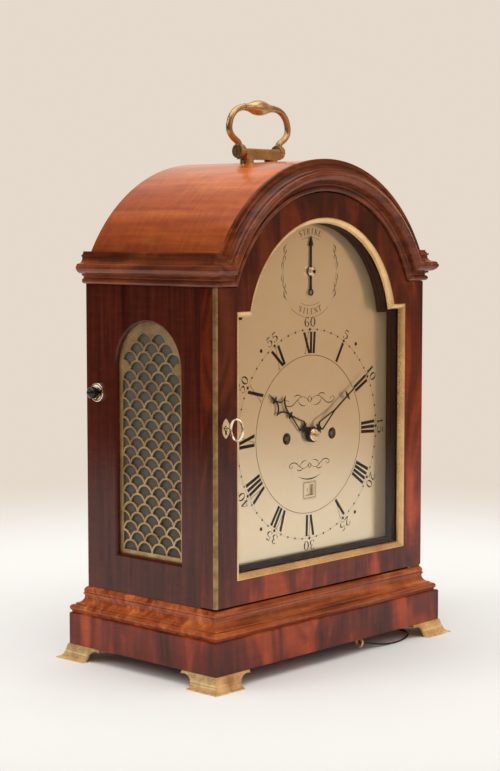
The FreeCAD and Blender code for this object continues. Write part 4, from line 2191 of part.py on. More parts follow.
BELL_SHARES = (
    (0.10, 1.00),
    ((0.62, 0.93), (0.80, 0.58)),
    ((0.87, 0.30), (1.00, 0.00)),
)


def bell_outline():
    """Bell in half section, its wall of one thickness."""
    radius = float(of.bell_radius)
    height = float(of.bell_height)
    wall = float(of.bell_wall)
    bore = float(of.handle_stud_radius)

    def outer(pair):
        return (pair[0] * radius, pair[1] * height)

    def inner(pair):
        return (pair[0] * (radius - wall), pair[1] * (height - wall))

    top, shoulder, mouth = BELL_SHARES
    return curve_list((bore, height - wall), inner(top), (inner(shoulder[0]), inner(shoulder[1])),
                      (inner(mouth[0]), inner(mouth[1])), outer(mouth[1]),
                      (outer(mouth[0]), outer(shoulder[1])), (outer(shoulder[0]), outer(top)),
                      (bore, height))


def bell():
    """Bell hung on a stud from a strap that stands on the back plate."""
    mouth = plate_top + of.bell_rise
    top = mouth + of.bell_height
    y = bell_y()
    width = of.bell_stand_width
    thickness = of.bell_stand_thickness
    low = plate_top - of.bell_lap
    arm_low = top + of.bell_gap
    post = box("BellPost", (width, thickness, arm_low + thickness - low),
               (-width / 2, back_plate_back, low))
    arm_front = y - width / 2
    arm = box("BellArm", (width, back_plate_back + thickness - arm_front, thickness),
              (-width / 2, arm_front, arm_low))
    nut_low = arm_low + thickness
    stud_low = top - of.bell_wall - of.bell_nut_height
    stud_high = nut_low + of.bell_nut_height
    stud = rod("BellStud", of.handle_stud_radius, stud_high - stud_low, (0, y, stud_low), "z")
    nuts = [rod("BellNutUpper", of.bell_nut_radius, of.bell_nut_height, (0, y, nut_low), "z"),
            rod("BellNutLower", of.bell_nut_radius, of.bell_nut_height, (0, y, stud_low), "z"),
            rod("BellCollar", of.bell_nut_radius, of.bell_gap, (0, y, top), "z")]
    shell = turned("BellShell", bell_outline(), (0, y, mouth), "z")
    node("bell", together("Bell", [shell, joined("BellStand", [post, arm, stud] + nuts)]))


def hammer():
    """Arbor, arm and head, with the tail that the lifting pins would raise."""
    x = -of.hammer_x
    head_level = plate_top + of.bell_rise + of.hammer_head_radius
    head_right = -of.bell_radius - of.hammer_gap
    arm_rise = head_level - hammer_height
    pin_circle = float(great_wheel - of.lifting_pin_inset + of.lifting_pin_radius)
    aside = float(of.hammer_x - of.winding_x)
    above = float(hammer_height - winding_height)
    tail = as_size(math.hypot(aside, above) - pin_circle) - of.hammer_tail_gap
    slant = math.degrees(math.atan2(aside, above))
    tail_front = great_wheel_front() - of.lifting_pin_length
    lean = math.degrees(math.atan2(float(of.hammer_head_length) / 2 + float(of.hammer_gap)
                                   - float(of.hammer_x - of.bell_radius), float(arm_rise)))
    arm = rod("HammerArm", of.hammer_arm_radius, arm_rise, (x, bell_y(), hammer_height), "z")
    place(arm, (x, bell_y(), hammer_height), Rotation(Vector(0, 1, 0), -lean))
    tail_at = (x + of.train_arbor_radius, tail_front, hammer_height)
    tail_bar = box("HammerTail", (2 * of.train_arbor_radius, of.train_wheel_thickness, tail), tail_at)
    place(tail_bar, tail_at, Rotation(Vector(0, 1, 0), 180 - slant))
    pieces = [
        rod("HammerArbor", of.train_arbor_radius, back_plate_back - front_plate_front,
            (x, front_plate_front, hammer_height), "y"),
        rod("HammerHub", 2 * of.train_arbor_radius, 2 * of.hammer_head_radius,
            (x, bell_y() - of.hammer_head_radius, hammer_height), "y"),
        arm,
        rod("HammerHead", of.hammer_head_radius, of.hammer_head_length,
            (head_right - of.hammer_head_length, bell_y(), head_level), "x"),
        tail_bar,
    ]
    node("hammer", joined("Hammer", pieces))


# Build

bracket_feet()
plinth()
base_moulding()
case_floor()
side("side_left", True)
side("side_right", False)
frets()
front_frame()
dial_mask()
rear_frame()
seat_board()
fascia()
roof_shell()
cornice_returns()
arch_moulding()
door_frame()
door_glass()
door_bezel()
door_corner_strip()
door_escutcheon()
door_lock()
lock_bolt()
door_key()
pivot_plates()
rear_door_frame()
rear_door_glass()
rear_door_knob()
handle_base()
handle_bail()
handle_fixings()
repeat_ferrule()
repeat_toggle()
base_ring()
floor_cord()
dial_plate()
dial_feet()
date_disc()
hands()
hand_collet()
strike_hand()
plates()
pillars()
fusee("going_fusee", "GoingFusee", of.winding_x)
fusee("strike_fusee", "StrikeFusee", -of.winding_x, LIFTING_PINS)
barrel("going_barrel", "GoingBarrel", of.barrel_x)
barrel("strike_barrel", "StrikeBarrel", -of.barrel_x)
centre_wheel()
train()
pendulum()
hour_wheel()
minute_wheel()
bell()
hammer()
doc.recompute()


# Checks, then one file for each node

for thing in doc.Objects:
    if "Invalid" in thing.State or "Error" in thing.State:
        raise RuntimeError("%s did not build: %s" % (thing.Name, thing.State))
for label, thing in NODES.items():
    if thing.Shape.isNull() or not thing.Shape.isValid() or not thing.Shape.Solids:
        raise RuntimeError("%s has no sound solid" % label)

os.makedirs("parts", exist_ok=True)
for label, thing in NODES.items():
    thing.Shape.exportStep("parts/%s.step" % label)
print(len(NODES), "nodes")
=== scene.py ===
"""Looks of an arched-top table clock: finishes, dial engraving, fret cloths, floor line and stage."""

import json
import math

import bmesh
import bpy
import numpy as np
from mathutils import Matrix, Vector


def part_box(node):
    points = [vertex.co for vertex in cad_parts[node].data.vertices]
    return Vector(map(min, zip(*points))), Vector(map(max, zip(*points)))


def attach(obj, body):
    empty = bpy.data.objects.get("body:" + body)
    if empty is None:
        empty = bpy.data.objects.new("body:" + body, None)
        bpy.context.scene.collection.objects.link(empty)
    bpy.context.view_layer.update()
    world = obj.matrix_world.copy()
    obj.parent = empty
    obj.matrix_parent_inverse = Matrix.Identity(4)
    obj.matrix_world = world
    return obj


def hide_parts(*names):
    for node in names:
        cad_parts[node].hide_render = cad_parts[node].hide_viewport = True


bl_info = {
    "name": "Arched Table Clock",
    "version": (1, 0, 0),
    "blender": (4, 5, 0),
    "location": "3D View > Sidebar > Clock",
    "description": "Dresses the arched-top table clock: woods, brass, dial engraving, cloths, line and stage",
    "category": "Object",
}

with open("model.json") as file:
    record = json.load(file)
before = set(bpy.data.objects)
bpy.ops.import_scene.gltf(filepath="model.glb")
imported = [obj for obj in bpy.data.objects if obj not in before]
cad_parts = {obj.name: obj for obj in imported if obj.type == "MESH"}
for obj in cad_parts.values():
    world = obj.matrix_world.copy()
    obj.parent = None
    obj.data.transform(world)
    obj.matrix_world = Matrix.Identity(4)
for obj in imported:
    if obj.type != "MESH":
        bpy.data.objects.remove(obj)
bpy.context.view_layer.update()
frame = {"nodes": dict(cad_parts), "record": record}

MM = 0.001
MERGE = 1e-7


def shade(red, green, blue):
    """A screen colour from 0 to 255 as linear light."""
    screen = np.array([red, green, blue]) / 255
    linear = np.where(screen <= 0.04045, screen / 12.92, ((screen + 0.055) / 1.055) ** 2.4)
    return tuple(float(part) for part in linear)


def scaled(tone, factor):
    """A colour made darker or lighter by a factor."""
    return tuple(factor * part for part in tone)


def colour(name, description, *screen):
    """Colour setting, its default as a screen colour."""
    return bpy.props.FloatVectorProperty(name=name, description=description, subtype="COLOR",
                                         size=3, min=0, max=1, default=shade(*screen))


def length(name, description, millimetres):
    """Length setting, its default in millimetres."""
    return bpy.props.FloatProperty(name=name, description=description, unit="LENGTH",
                                   subtype="DISTANCE", precision=5, default=millimetres * MM)


def share(name, description, default):
    """Setting from nothing to all."""
    return bpy.props.FloatProperty(name=name, description=description, min=0, max=1, default=default)


def power(name, description, watts):
    """Power setting of a lamp, in watts."""
    return bpy.props.FloatProperty(name=name, description=description, min=0, unit="POWER", default=watts)


class ClockDialSizes(bpy.types.PropertyGroup):
    """Places and sizes of what is engraved on the dial"""
    face: length("Face", "front face of the dial, front to back", -53.55)
    centre: length("Hands' Centre", "height of the hands' centre", 178.9)
    cut_rise: length("Wax Rise", "how far the black wax stands proud", 0.06)
    minute_number_radius: length("Minute Numbers", "radius of the minute numbers' middle", 89.6)
    minute_number_height: length("Minute Height", "height of the minute numbers", 7.9)
    minute_ring_radius: length("Minute Dots", "radius of the minute dots", 83.7)
    minute_dot: length("Minute Dot", "radius of a minute dot", 1.0)
    hour_number_radius: length("Hour Numbers", "radius of the hour numbers' middle", 73.3)
    hour_number_height: length("Hour Height", "height of the hour numbers", 17.2)
    inner_ring_radius: length("Inner Ring", "radius of the line inside the hour numbers", 63.2)
    line: length("Fine Line", "width of a fine engraved line", 0.42)
    strike_centre: length("Strike Centre", "height of the strike lever's centre", 308.5)
    strike_text_radius: length("Strike Words", "radius of the words round the strike lever", 31.6)
    strike_text_height: length("Strike Letters", "height of the letters", 4.7)
    window_level: length("Date Window", "height of the date window's middle", 134.1)
    window_width: length("Date Border Width", "width of the border round the window", 13.6)
    window_height: length("Date Border Height", "height of the border round the window", 12.2)
    date_centre: length("Date Disc", "height of the date disc's centre", 112.1)
    date_radius: length("Date Numbers", "radius of the date numbers' middle", 22.0)
    date_height: length("Date Height", "height of the date numbers", 3.0)
    pin_across: length("Pins Across", "dark dial pins either side of the hands' centre", 57.2)
    pin_up: length("Pins Up", "dark dial pins above and below the hands' centre", 69.4)
    pin_radius: length("Pin Radius", "radius of a dark dial pin", 1.5)
    winding_across: length("Winding Across", "winding holes either side of the middle", 27.5)
    winding_drop: length("Winding Drop", "winding holes below the hands' centre", 1.4)
    winding_hole: length("Winding Hole", "radius of a winding hole", 3.6)
    # The black ring is partly a ringed winding hole's wax and partly painted shade at the hole's edge.
    winding_ring: length("Winding Ring", "width of the black ring round a winding hole", 1.0)


class ClockFinishes(bpy.types.PropertyGroup):
    """Colours of the clock's woods, metals and cloth"""
    door_dark: colour("Door Dark", "dark streaks of the door and plinth", 40, 10, 4)
    door_mid: colour("Door Middle", "body colour of the door and plinth", 98, 30, 11)
    door_light: colour("Door Light", "light flames of the door and plinth", 164, 64, 24)
    side_dark: colour("Side Dark", "dark streaks of the sides", 46, 13, 5)
    side_mid: colour("Side Middle", "body colour of the sides", 80, 27, 12)
    side_light: colour("Side Light", "light streaks of the sides", 112, 42, 18)
    # Roof colours: the mahogany's own colour drawn much lighter than on the rest of the case, partly painted
    # light of the lamp above.
    roof_dark: colour("Roof Dark", "dark streaks of the roof", 146, 56, 14)
    roof_mid: colour("Roof Middle", "body colour of the roof", 190, 84, 26)
    roof_light: colour("Roof Light", "light figure of the roof", 232, 124, 48)
    moulding_dark: colour("Moulding Dark", "dark grain of the mouldings", 44, 16, 8)
    moulding_mid: colour("Moulding Middle", "body colour of the mouldings", 116, 50, 20)
    moulding_light: colour("Moulding Light", "light grain of the mouldings", 164, 82, 38)
    # Base moulding colours: a lighter copy of the mouldings' colours, painted light standing in for the
    # highlights and floor light on it.
    base_dark: colour("Base Dark", "dark grain of the base moulding", 66, 22, 8)
    base_mid: colour("Base Middle", "body colour of the base moulding", 170, 78, 34)
    base_light: colour("Base Light", "light grain of the base moulding", 236, 138, 72)
    mask_wood: colour("Mask Wood", "dark wood round the dial", 58, 25, 14)
    inside_wood: colour("Inside Wood", "plain wood inside the case", 136, 92, 58)
    brass: colour("Case Brass", "clean brass of the mounts", 252, 214, 154)
    brass_old: colour("Old Brass", "brass in the hollows", 188, 136, 82)
    pale_brass: colour("Pale Brass", "rubbed brass of the key, lock plate and pull ring", 250, 238, 218)
    movement_brass: colour("Movement Brass", "brass of the plates and wheels", 232, 190, 112)
    bell: colour("Bell Metal", "pale metal of the bell", 214, 196, 156)
    dial: colour("Silvered Dial", "silvered face of the dial", 255, 226, 176)
    dial_warm: colour("Dial Toning", "toned parts of the silvering", 254, 212, 156)
    wax: colour("Black Wax", "wax in the engraving", 30, 20, 14)
    hands: colour("Hands", "dark steel of the hands", 34, 28, 28)
    steel: colour("Steel", "bright steel", 190, 188, 184)
    cloth: colour("Fret Cloth", "cloth behind the frets", 72, 68, 62)
    cloth_light: colour("Cloth Threads", "light threads of the fret cloth", 120, 112, 100)
    line_black: colour("Line", "black line on the floor", 24, 22, 22)
    ebony: colour("Ebony", "black wood of the pull and the back door's knob", 30, 24, 22)


class ClockStage(bpy.types.PropertyGroup):
    """Floor, background and lamps"""
    background: colour("Background", "colour behind the clock", 229, 217, 203)
    floor: colour("Floor", "pale floor", 246, 243, 239)
    gloss_tone: colour("Gloss Tone", "colour of the room that polished surfaces show", 222, 176, 140)
    fill: bpy.props.FloatProperty(name="Fill", description="light from all round", min=0, default=0.46)
    gloss_left: share("Gloss Left", "how bright polished surfaces find the room on the left", 0.04)
    gloss_right: share("Gloss Right", "how bright polished surfaces find the room on the right", 0.62)
    top_power: power("Top Lamp", "power of the lamp above", 49)
    front_power: power("Front Lamp", "power of the lamp at the right front", 7)
    side_power: power("Side Lamp", "power of the lamp behind on the left", 13)


# Surfaces: points on each span of a stroke and of a freely drawn curve

STROKE_STEPS, CURVE_STEPS = 5, 8


def smooth(points, steps, closed=False):
    """Smooth curve through the points: a cubic on each span, its slopes half the chord of the neighbours."""
    knots = np.asarray(points, float)
    if len(knots) == 2 and not closed:
        return knots
    if closed:
        knots = np.vstack([knots[-1:], knots, knots[:2]])
    else:
        knots = np.vstack([2 * knots[0] - knots[1], knots, 2 * knots[-1] - knots[-2]])
    t = np.linspace(0, 1, steps, endpoint=False)[None, :, None]
    a, b, c, d = (knots[k:len(knots) - 3 + k, None, :] for k in range(4))
    square, cube = a - 2.5 * b + 2 * c - d / 2, 1.5 * (b - c) + (d - a) / 2
    curve = b + (c - a) * t / 2 + square * t ** 2 + cube * t ** 3
    curve = curve.reshape(-1, knots.shape[1])
    return curve if closed else np.vstack([curve, knots[-2:-1]])


def grid_faces(rows, columns, closed_rows=False, closed_columns=False):
    """Quads of a grid of points, row by row."""
    i = np.arange(rows if closed_rows else rows - 1)[:, None]
    j = np.arange(columns if closed_columns else columns - 1)[None, :]
    below, right = (i + 1) % rows, (j + 1) % columns
    quads = np.stack(np.broadcast_arrays(i * columns + j, i * columns + right,
                                         below * columns + right, below * columns + j), -1)
    return quads.reshape(-1, 4)


def outward(points, quads):
    """The quads turned so that the closed shape's volume is positive."""
    a, b, c, d = (points[quads[:, k]] for k in range(4))
    volume = np.einsum("ij,ij->i", a, np.cross(b, c)).sum() + np.einsum("ij,ij->i", a, np.cross(c, d)).sum()
    return quads if volume > 0 else quads[:, ::-1]


def ribbon(line, face, rise, closed=False):
    """Flat slab along a line in the dial's plane.

    Each row of the line is x, z and width. The two edges lie half the width to either side,
    square to the line, and are joined by a front and a back at two depths.
    """
    centre, half = line[:, :2], line[:, 2:3] / 2
    if closed:
        way = np.roll(centre, -1, 0) - np.roll(centre, 1, 0)
    else:
        way = np.gradient(centre, axis=0)
    way = way / np.maximum(np.linalg.norm(way, axis=1, keepdims=True), 1e-12)
    side = np.stack([-way[:, 1], way[:, 0]], 1) * half
    depths = np.array([face - rise, face - rise, face + rise, face + rise])
    signs = np.array([1, -1, -1, 1])
    flat = centre[:, None, :] + side[:, None, :] * signs[None, :, None]
    y = np.broadcast_to(depths, flat.shape[:2])
    points = np.stack([flat[..., 0], y, flat[..., 1]], -1).reshape(-1, 3)
    quads = grid_faces(len(line), 4, closed, True)
    if not closed:
        last = 4 * (len(line) - 1)
        quads = np.vstack([quads, [[3, 2, 1, 0]], [[last, last + 1, last + 2, last + 3]]])
    return points, outward(points, quads)


def turned_surface(profile, steps):
    """Surface of revolution about the Y axis.

    The profile is rows of radius and depth, and each point goes round at (radius cos a, depth, radius sin a).
    Its first and last rows have radius zero and close the poles.
    """
    profile = np.asarray(profile, float)
    angle = np.linspace(0, 2 * math.pi, steps, endpoint=False)
    radius, depth = profile[:, 0, None], np.broadcast_to(profile[:, 1, None], (len(profile), steps))
    points = np.stack([radius * np.cos(angle), depth, radius * np.sin(angle)], -1).reshape(-1, 3)
    return points, outward(points, grid_faces(len(profile), steps, False, True))


def gathered(parts):
    """Several surfaces as one: points stacked, and each part's faces counted on from those before."""
    starts = np.cumsum([0] + [len(points) for points, _ in parts[:-1]])
    return (np.vstack([points for points, _ in parts]),
            np.vstack([quads + start for (_, quads), start in zip(parts, starts)]))


# Cloths behind the frets: rows up to the arch and round it, points across, depth inside the outer face and
# height of the ripple in millimetres, ripples across and up in radians per metre, sharpest smooth edge

CLOTH_ROWS, CLOTH_ARCH_ROWS, CLOTH_POINTS = 48, 24, 25
CLOTH_INSET, CLOTH_RIPPLE = 0.4, 0.22
CLOTH_WAVES = (190, 150)
CLOTH_SHARP = 60
WEAVE = "weave"


def cloth_surface(low, high, side):
    """Cloth that fills its box's outer face: an upright oblong under a half circle.

    Rows rise evenly to the foot of the half circle, and then by equal angles round it, where half the width
    is the radius times the angle's cosine. Each row is spanned evenly. The depth ripples by the sine of y
    times the sine of z, times 1 - across squared, which is nothing at both edges.
    """
    half, middle = (high.y - low.y) / 2, (high.y + low.y) / 2
    spring = high.z - half
    angle = np.linspace(0, math.pi / 2, CLOTH_ARCH_ROWS)[1:]
    level = np.concatenate([np.linspace(low.z, spring, CLOTH_ROWS), spring + half * np.sin(angle)])
    reach = np.concatenate([np.full(CLOTH_ROWS, half), half * np.cos(angle)])
    across = np.linspace(-1, 1, CLOTH_POINTS)
    y = middle + reach[:, None] * across
    z = np.broadcast_to(level[:, None], y.shape)
    ripple = np.sin(CLOTH_WAVES[0] * y) * np.sin(CLOTH_WAVES[1] * z) * (1 - across ** 2)
    outer = high.x if side > 0 else low.x
    x = outer - side * (CLOTH_INSET + CLOTH_RIPPLE * ripple) * MM
    quads = grid_faces(len(level), len(across))
    return np.stack([x, y, z], -1).reshape(-1, 3), quads if side > 0 else quads[:, ::-1]


def map_weave(made):
    """Gives a cloth its surface coordinates: y and z in metres."""
    spots = np.empty(len(made.data.vertices) * 3)
    made.data.vertices.foreach_get("co", spots)
    corners = np.empty(len(made.data.loops), int)
    made.data.loops.foreach_get("vertex_index", corners)
    places = spots.reshape(-1, 3)[corners][:, 1:]
    made.data.uv_layers.new(name=WEAVE).data.foreach_set("uv", places.ravel())


def piece(name, surface, body, material):
    """Makes a piece from points and quads, closes its poles, and lets it ride on a body."""
    points, quads = surface
    mesh = bpy.data.meshes.new(name)
    mesh.from_pydata(points.tolist(), [], quads.tolist())
    work = bmesh.new()
    work.from_mesh(mesh)
    bmesh.ops.remove_doubles(work, verts=work.verts, dist=MERGE)
    bmesh.ops.dissolve_degenerate(work, edges=work.edges, dist=MERGE)
    work.to_mesh(mesh)
    work.free()
    mesh.materials.append(material)
    made = bpy.data.objects.new(name, mesh)
    bpy.context.scene.collection.objects.link(made)
    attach(made, body)
    return made


# Engraver's strokes: each is rows of x, height and width, as shares of the character's height

DIGITS = {
    "0": [("closed", (0, .97, .05), (-.17, .78, .13), (-.22, .5, .18), (-.17, .22, .13), (0, .03, .05),
           (.17, .22, .13), (.22, .5, .18), (.17, .78, .13))],
    "1": [("open", (0, .96, .15), (0, .04, .15)), ("open", (-.16, .80, .04), (0, .95, .06)),
          ("open", (-.15, .02, .05), (.15, .02, .05))],
    "2": [("open", (-.2, .74, .12), (-.13, .93, .06), (.05, .97, .05), (.21, .76, .16), (.1, .45, .12),
           (-.2, .1, .05)), ("open", (-.22, .05, .06), (0, .08, .12), (.23, .05, .08)),
          ("open", (.23, .06, .05), (.26, .24, .03))],
    "3": [("open", (-.19, .8, .12), (-.04, .97, .05), (.17, .78, .14), (.05, .57, .07), (-.06, .54, .04)),
          ("open", (-.05, .54, .04), (.13, .49, .08), (.22, .27, .16), (.04, .03, .05), (-.16, .07, .06),
           (-.22, .22, .12))],
    "4": [("open", (.09, .97, .05), (-.26, .3, .05)), ("open", (-.28, .28, .06), (.28, .28, .06)),
          ("open", (.1, .96, .16), (.1, .03, .16)), ("open", (-.04, .02, .05), (.24, .02, .05))],
    "5": [("open", (-.15, .95, .05), (-.17, .52, .05)), ("open", (-.15, .93, .1), (.2, .93, .1)),
          ("open", (-.17, .52, .05), (.03, .6, .05), (.22, .34, .17), (.04, .03, .05), (-.15, .06, .06),
           (-.21, .2, .12))],
    "6": [("open", (.18, .86, .12), (.04, .97, .05), (-.14, .82, .1), (-.22, .4, .17), (-.02, .03, .05),
           (.2, .28, .15), (.02, .56, .05), (-.19, .38, .05))],
    "7": [("open", (-.22, .92, .1), (.22, .92, .1)),
          ("open", (.22, .9, .05), (.03, .5, .1), (-.04, .02, .16)),
          ("open", (-.22, .94, .04), (-.24, .76, .04))],
    "8": [("closed", (0, .97, .05), (-.16, .77, .12), (0, .55, .07), (.16, .77, .12)),
          ("closed", (0, .55, .06), (-.21, .28, .15), (0, .03, .05), (.21, .28, .15))],
    "9": [("open", (-.18, .14, .12), (-.04, .03, .05), (.14, .18, .1), (.22, .6, .17), (.02, .97, .05),
           (-.2, .72, .15), (-.02, .44, .05), (.19, .62, .05))],
}
LETTERS = {
    "S": [("open", (.18, .82, .08), (.02, .97, .05), (-.17, .77, .11), (0, .52, .15), (.18, .26, .11),
           (0, .03, .05), (-.19, .2, .08))],
    "T": [("open", (0, .96, .14), (0, .04, .14)), ("open", (-.25, .95, .06), (.25, .95, .06)),
          ("open", (-.25, .96, .04), (-.26, .76, .04)), ("open", (.25, .96, .04), (.26, .76, .04)),
          ("open", (-.13, .02, .05), (.13, .02, .05))],
    "R": [("open", (-.14, .96, .14), (-.14, .04, .14)), ("open", (-.28, .02, .05), (0, .02, .05)),
          ("open", (-.26, .96, .05), (.02, .96, .05), (.19, .75, .14), (.02, .52, .05), (-.1, .51, .05)),
          ("open", (.02, .51, .07), (.25, .04, .13))],
    "I": [("open", (0, .96, .14), (0, .04, .14)), ("open", (-.13, .97, .05), (.13, .97, .05)),
          ("open", (-.13, .03, .05), (.13, .03, .05))],
    "K": [("open", (-.14, .96, .14), (-.14, .04, .14)), ("open", (-.27, .97, .05), (-.01, .97, .05)),
          ("open", (-.27, .03, .05), (-.01, .03, .05)), ("open", (.23, .95, .05), (-.1, .46, .05)),
          ("open", (-.02, .56, .1), (.24, .04, .14))],
    "E": [("open", (-.14, .96, .14), (-.14, .04, .14)), ("open", (-.24, .96, .05), (.2, .96, .05)),
          ("open", (-.14, .52, .05), (.1, .52, .05)), ("open", (-.24, .04, .05), (.22, .04, .05)),
          ("open", (.2, .97, .04), (.21, .78, .04)), ("open", (.22, .03, .04), (.24, .24, .04))],
    "L": [("open", (-.12, .96, .14), (-.12, .04, .14)), ("open", (-.25, .97, .05), (.02, .97, .05)),
          ("open", (-.24, .04, .05), (.22, .04, .05)), ("open", (.22, .03, .04), (.24, .26, .04))],
    "N": [("open", (-.2, .96, .05), (-.2, .04, .05)), ("open", (-.21, .96, .15), (.2, .06, .15)),
          ("open", (.2, .96, .05), (.2, .02, .05)), ("open", (-.3, .02, .04), (-.1, .02, .04)),
          ("open", (.1, .97, .04), (.3, .97, .04))],
}
NUMERALS = {
    "I": [("open", (0, .985, .15), (0, .015, .15)), ("open", (-.09, .985, .02), (.09, .985, .02)),
          ("open", (-.09, .015, .02), (.09, .015, .02))],
    "V": [("open", (-.15, .985, .15), (.01, .015, .15)), ("open", (.16, .985, .022), (.01, .015, .022)),
          ("open", (-.23, .985, .02), (-.07, .985, .02)), ("open", (.09, .985, .02), (.23, .985, .02))],
    "X": [("open", (-.15, .985, .15), (.15, .015, .15)), ("open", (.15, .985, .022), (-.15, .015, .022)),
          ("open", (-.23, .985, .02), (-.07, .985, .02)), ("open", (.08, .985, .02), (.22, .985, .02)),
          ("open", (-.22, .015, .02), (-.08, .015, .02)), ("open", (.07, .015, .02), (.23, .015, .02))],
}

# Room that each letter of an hour number takes, as a share of its height, and the numbers from the top

ADVANCE = {"I": .22, "V": .36, "X": .38}
HOURS = ("XII", "I", "II", "III", "IIII", "V", "VI", "VII", "VIII", "IX", "X", "XI")


# Distance between characters and their breadth, as shares of their height

MINUTE_PITCH, MINUTE_BREADTH = 0.9, 1.35
WORD_PITCH, WORD_BREADTH = 1.02, 1.45
DATE_PITCH = 0.52

# How many times finer than a fine line the minute circle and the arcs round the strike lever are

MINUTE_LINE_FINENESS, ARC_FINENESS = 3, 1.6

# Dots and pins: size of every fifth minute's dot against the others, widths along a dot, faces round a pin

FIFTH_DOT = 1.5
DOT_ROWS = ((-1, .1), (0, 2), (1, .1))
PIN_STEPS = 16

# Scrolls: a scroll, its upper leaf, its lower leaf and its stem, across and up, as shares of reach and
# height; then the level, reach and height of each pair as shares of the inner ring's radius; then the widths
# of their lines at the middle and the ends, as shares of a fine line

SCROLL_CURVES = (
    np.array([(.04, .0), (.16, .3), (.34, .36), (.5, .1), (.66, -.2), (.84, -.22), (.96, .02), (.9, .2),
              (.8, .14), (.82, .0)]),
    np.array([(.3, .36), (.4, .52), (.54, .5), (.6, .36)]),
    np.array([(.44, .16), (.4, -.1), (.28, -.28), (.14, -.3)]),
    np.array([(.0, .42), (.06, .24), (.05, .06), (.0, -.1)]))
SCROLL_PAIRS = ((.42, .5, .17), (-.37, .4, -.14))
SCROLL_WIDE, SCROLL_FINE = 1.6, .5

# Flourishes beside the strike lever: a waving stem and its four leaves, outwards and up, as shares of the
# words' radius; how strongly they lean out and bow in, and how high they reach; then the widths of their
# lines; and the arcs by start and end in degrees and share of the words' radius

FLOURISH_CURVES = (
    np.array([(.0, 1.0), (.16, .82), (-.02, .62), (.14, .44), (.02, .2), (.06, .0)]),
    np.array([(.04, .94), (.24, .86), (.2, .66)]), np.array([(.08, .56), (-.14, .5), (-.12, .36)]),
    np.array([(.1, .34), (.26, .22), (.16, .08)]), np.array([(-.06, .8), (-.14, .72), (.0, .62)]))
FLOURISH_LEAN, FLOURISH_BOW, FLOURISH_HEIGHT, FLOURISH_GAP = .3, .13, .68, .02
FLOURISH_WIDE, FLOURISH_FINE = 1.3, .45
STRIKE_ARCS = ((-24, 24, .85), (156, 204, .85), (142, 218, 1.15))

# Date window: growth and width of its borders, then the curved line above it, whose level and depth are
# shares of the window's height

WINDOW_BORDERS = ((1, 1), (1.16, .5))
WINDOW_CURVE = np.array([(-1, 1), (-.55, .3), (0, 0), (.55, .3), (1, 1)])
WINDOW_CURVE_LEVEL, WINDOW_CURVE_DEPTH = .73, .25
WINDOW_WIDE, WINDOW_FINE = 2.4, .4


def strokes_at(strokes, height, x, z, turn, face, rise, breadth=1.0):
    """A character's strokes with its middle at a point, turned clockwise about it by an angle."""
    parts = []
    cos, sin = math.cos(turn), math.sin(turn)
    for kind, *rows in strokes:
        line = smooth(rows, STROKE_STEPS, kind == "closed") * height
        across, up = breadth * line[:, 0], line[:, 1] - height / 2
        placed = np.stack([x + across * cos + up * sin, z - across * sin + up * cos, line[:, 2]], 1)
        parts.append(ribbon(placed, face, rise, kind == "closed"))
    return parts


def ring_place(radius, turn, centre):
    """Point at a radius and a clockwise angle from the top, about a centre at x 0 and a height."""
    return radius * math.sin(turn), centre + radius * math.cos(turn)


def word_round(word, strokes, height, pitch, radius, middle, centre, face, rise, breadth=1.0, inwards=False):
    """Characters at equal angles round a circle, about a middle angle; inwards, heads face the centre."""
    parts = []
    sign = -1 if inwards else 1
    for place, letter in enumerate(word):
        turn = middle + sign * (place - (len(word) - 1) / 2) * pitch * height / radius
        x, z = ring_place(radius, turn, centre)
        upright = turn - math.pi if inwards else turn
        parts += strokes_at(strokes[letter], height, x, z, upright, face, rise, breadth)
    return parts


def ring_line(radius, start, end, width, centre, face, rise):
    """Line of even width along a circle between two clockwise angles in degrees, a point every 3 degrees."""
    closed = end - start >= 360
    count = max(12, int((end - start) / 3))
    angle = np.radians(np.linspace(start, end, count, endpoint=not closed))
    line = np.stack([radius * np.sin(angle), centre + radius * np.cos(angle), np.full(count, width)], 1)
    return ribbon(line, face, rise, closed)


def swelling(points, width, hair):
    """Curve whose width is a hair at its ends and swells with the sine of its length, to the power of 1.5."""
    curve = smooth(points, CURVE_STEPS)
    share_along = np.linspace(0, 1, len(curve))
    breadth = hair + (width - hair) * np.sin(math.pi * share_along) ** 1.5
    return np.column_stack([curve, breadth])


def scroll_pair(level, reach, height, width, hair, face, rise):
    """Pair of mirrored scrolls with small leaves, about the dial's middle line."""
    parts = []
    for curve in SCROLL_CURVES:
        for sign in (-1, 1):
            placed = np.array([0, level]) + curve * np.array([sign * reach, height])
            parts.append(ribbon(swelling(placed, width, hair), face, rise))
    return parts


# Dial

def hour_number(sizes, word, turn):
    """Roman number round the hour circle, each letter as far from the next as their advances say."""
    parts = []
    radius, height = sizes.hour_number_radius, sizes.hour_number_height
    widths = np.array([ADVANCE[letter] for letter in word]) * height
    starts = np.cumsum(widths) - widths / 2 - widths.sum() / 2
    for letter, start in zip(word, starts):
        lean = turn + start / radius
        x, z = ring_place(radius, lean, sizes.centre)
        parts += strokes_at(NUMERALS[letter], height, x, z, lean, sizes.face, sizes.cut_rise)
    return parts


def minute_dot(sizes, minute):
    """Dot on the minute circle: a ribbon along the radius, pointed at both ends and broad between them."""
    turn = math.radians(6 * minute)
    size = sizes.minute_dot * (FIFTH_DOT if minute % 5 == 0 else 1)
    rows = [(*ring_place(sizes.minute_ring_radius + out * size, turn, sizes.centre), width * size)
            for out, width in DOT_ROWS]
    return ribbon(np.array(rows), sizes.face, sizes.cut_rise)


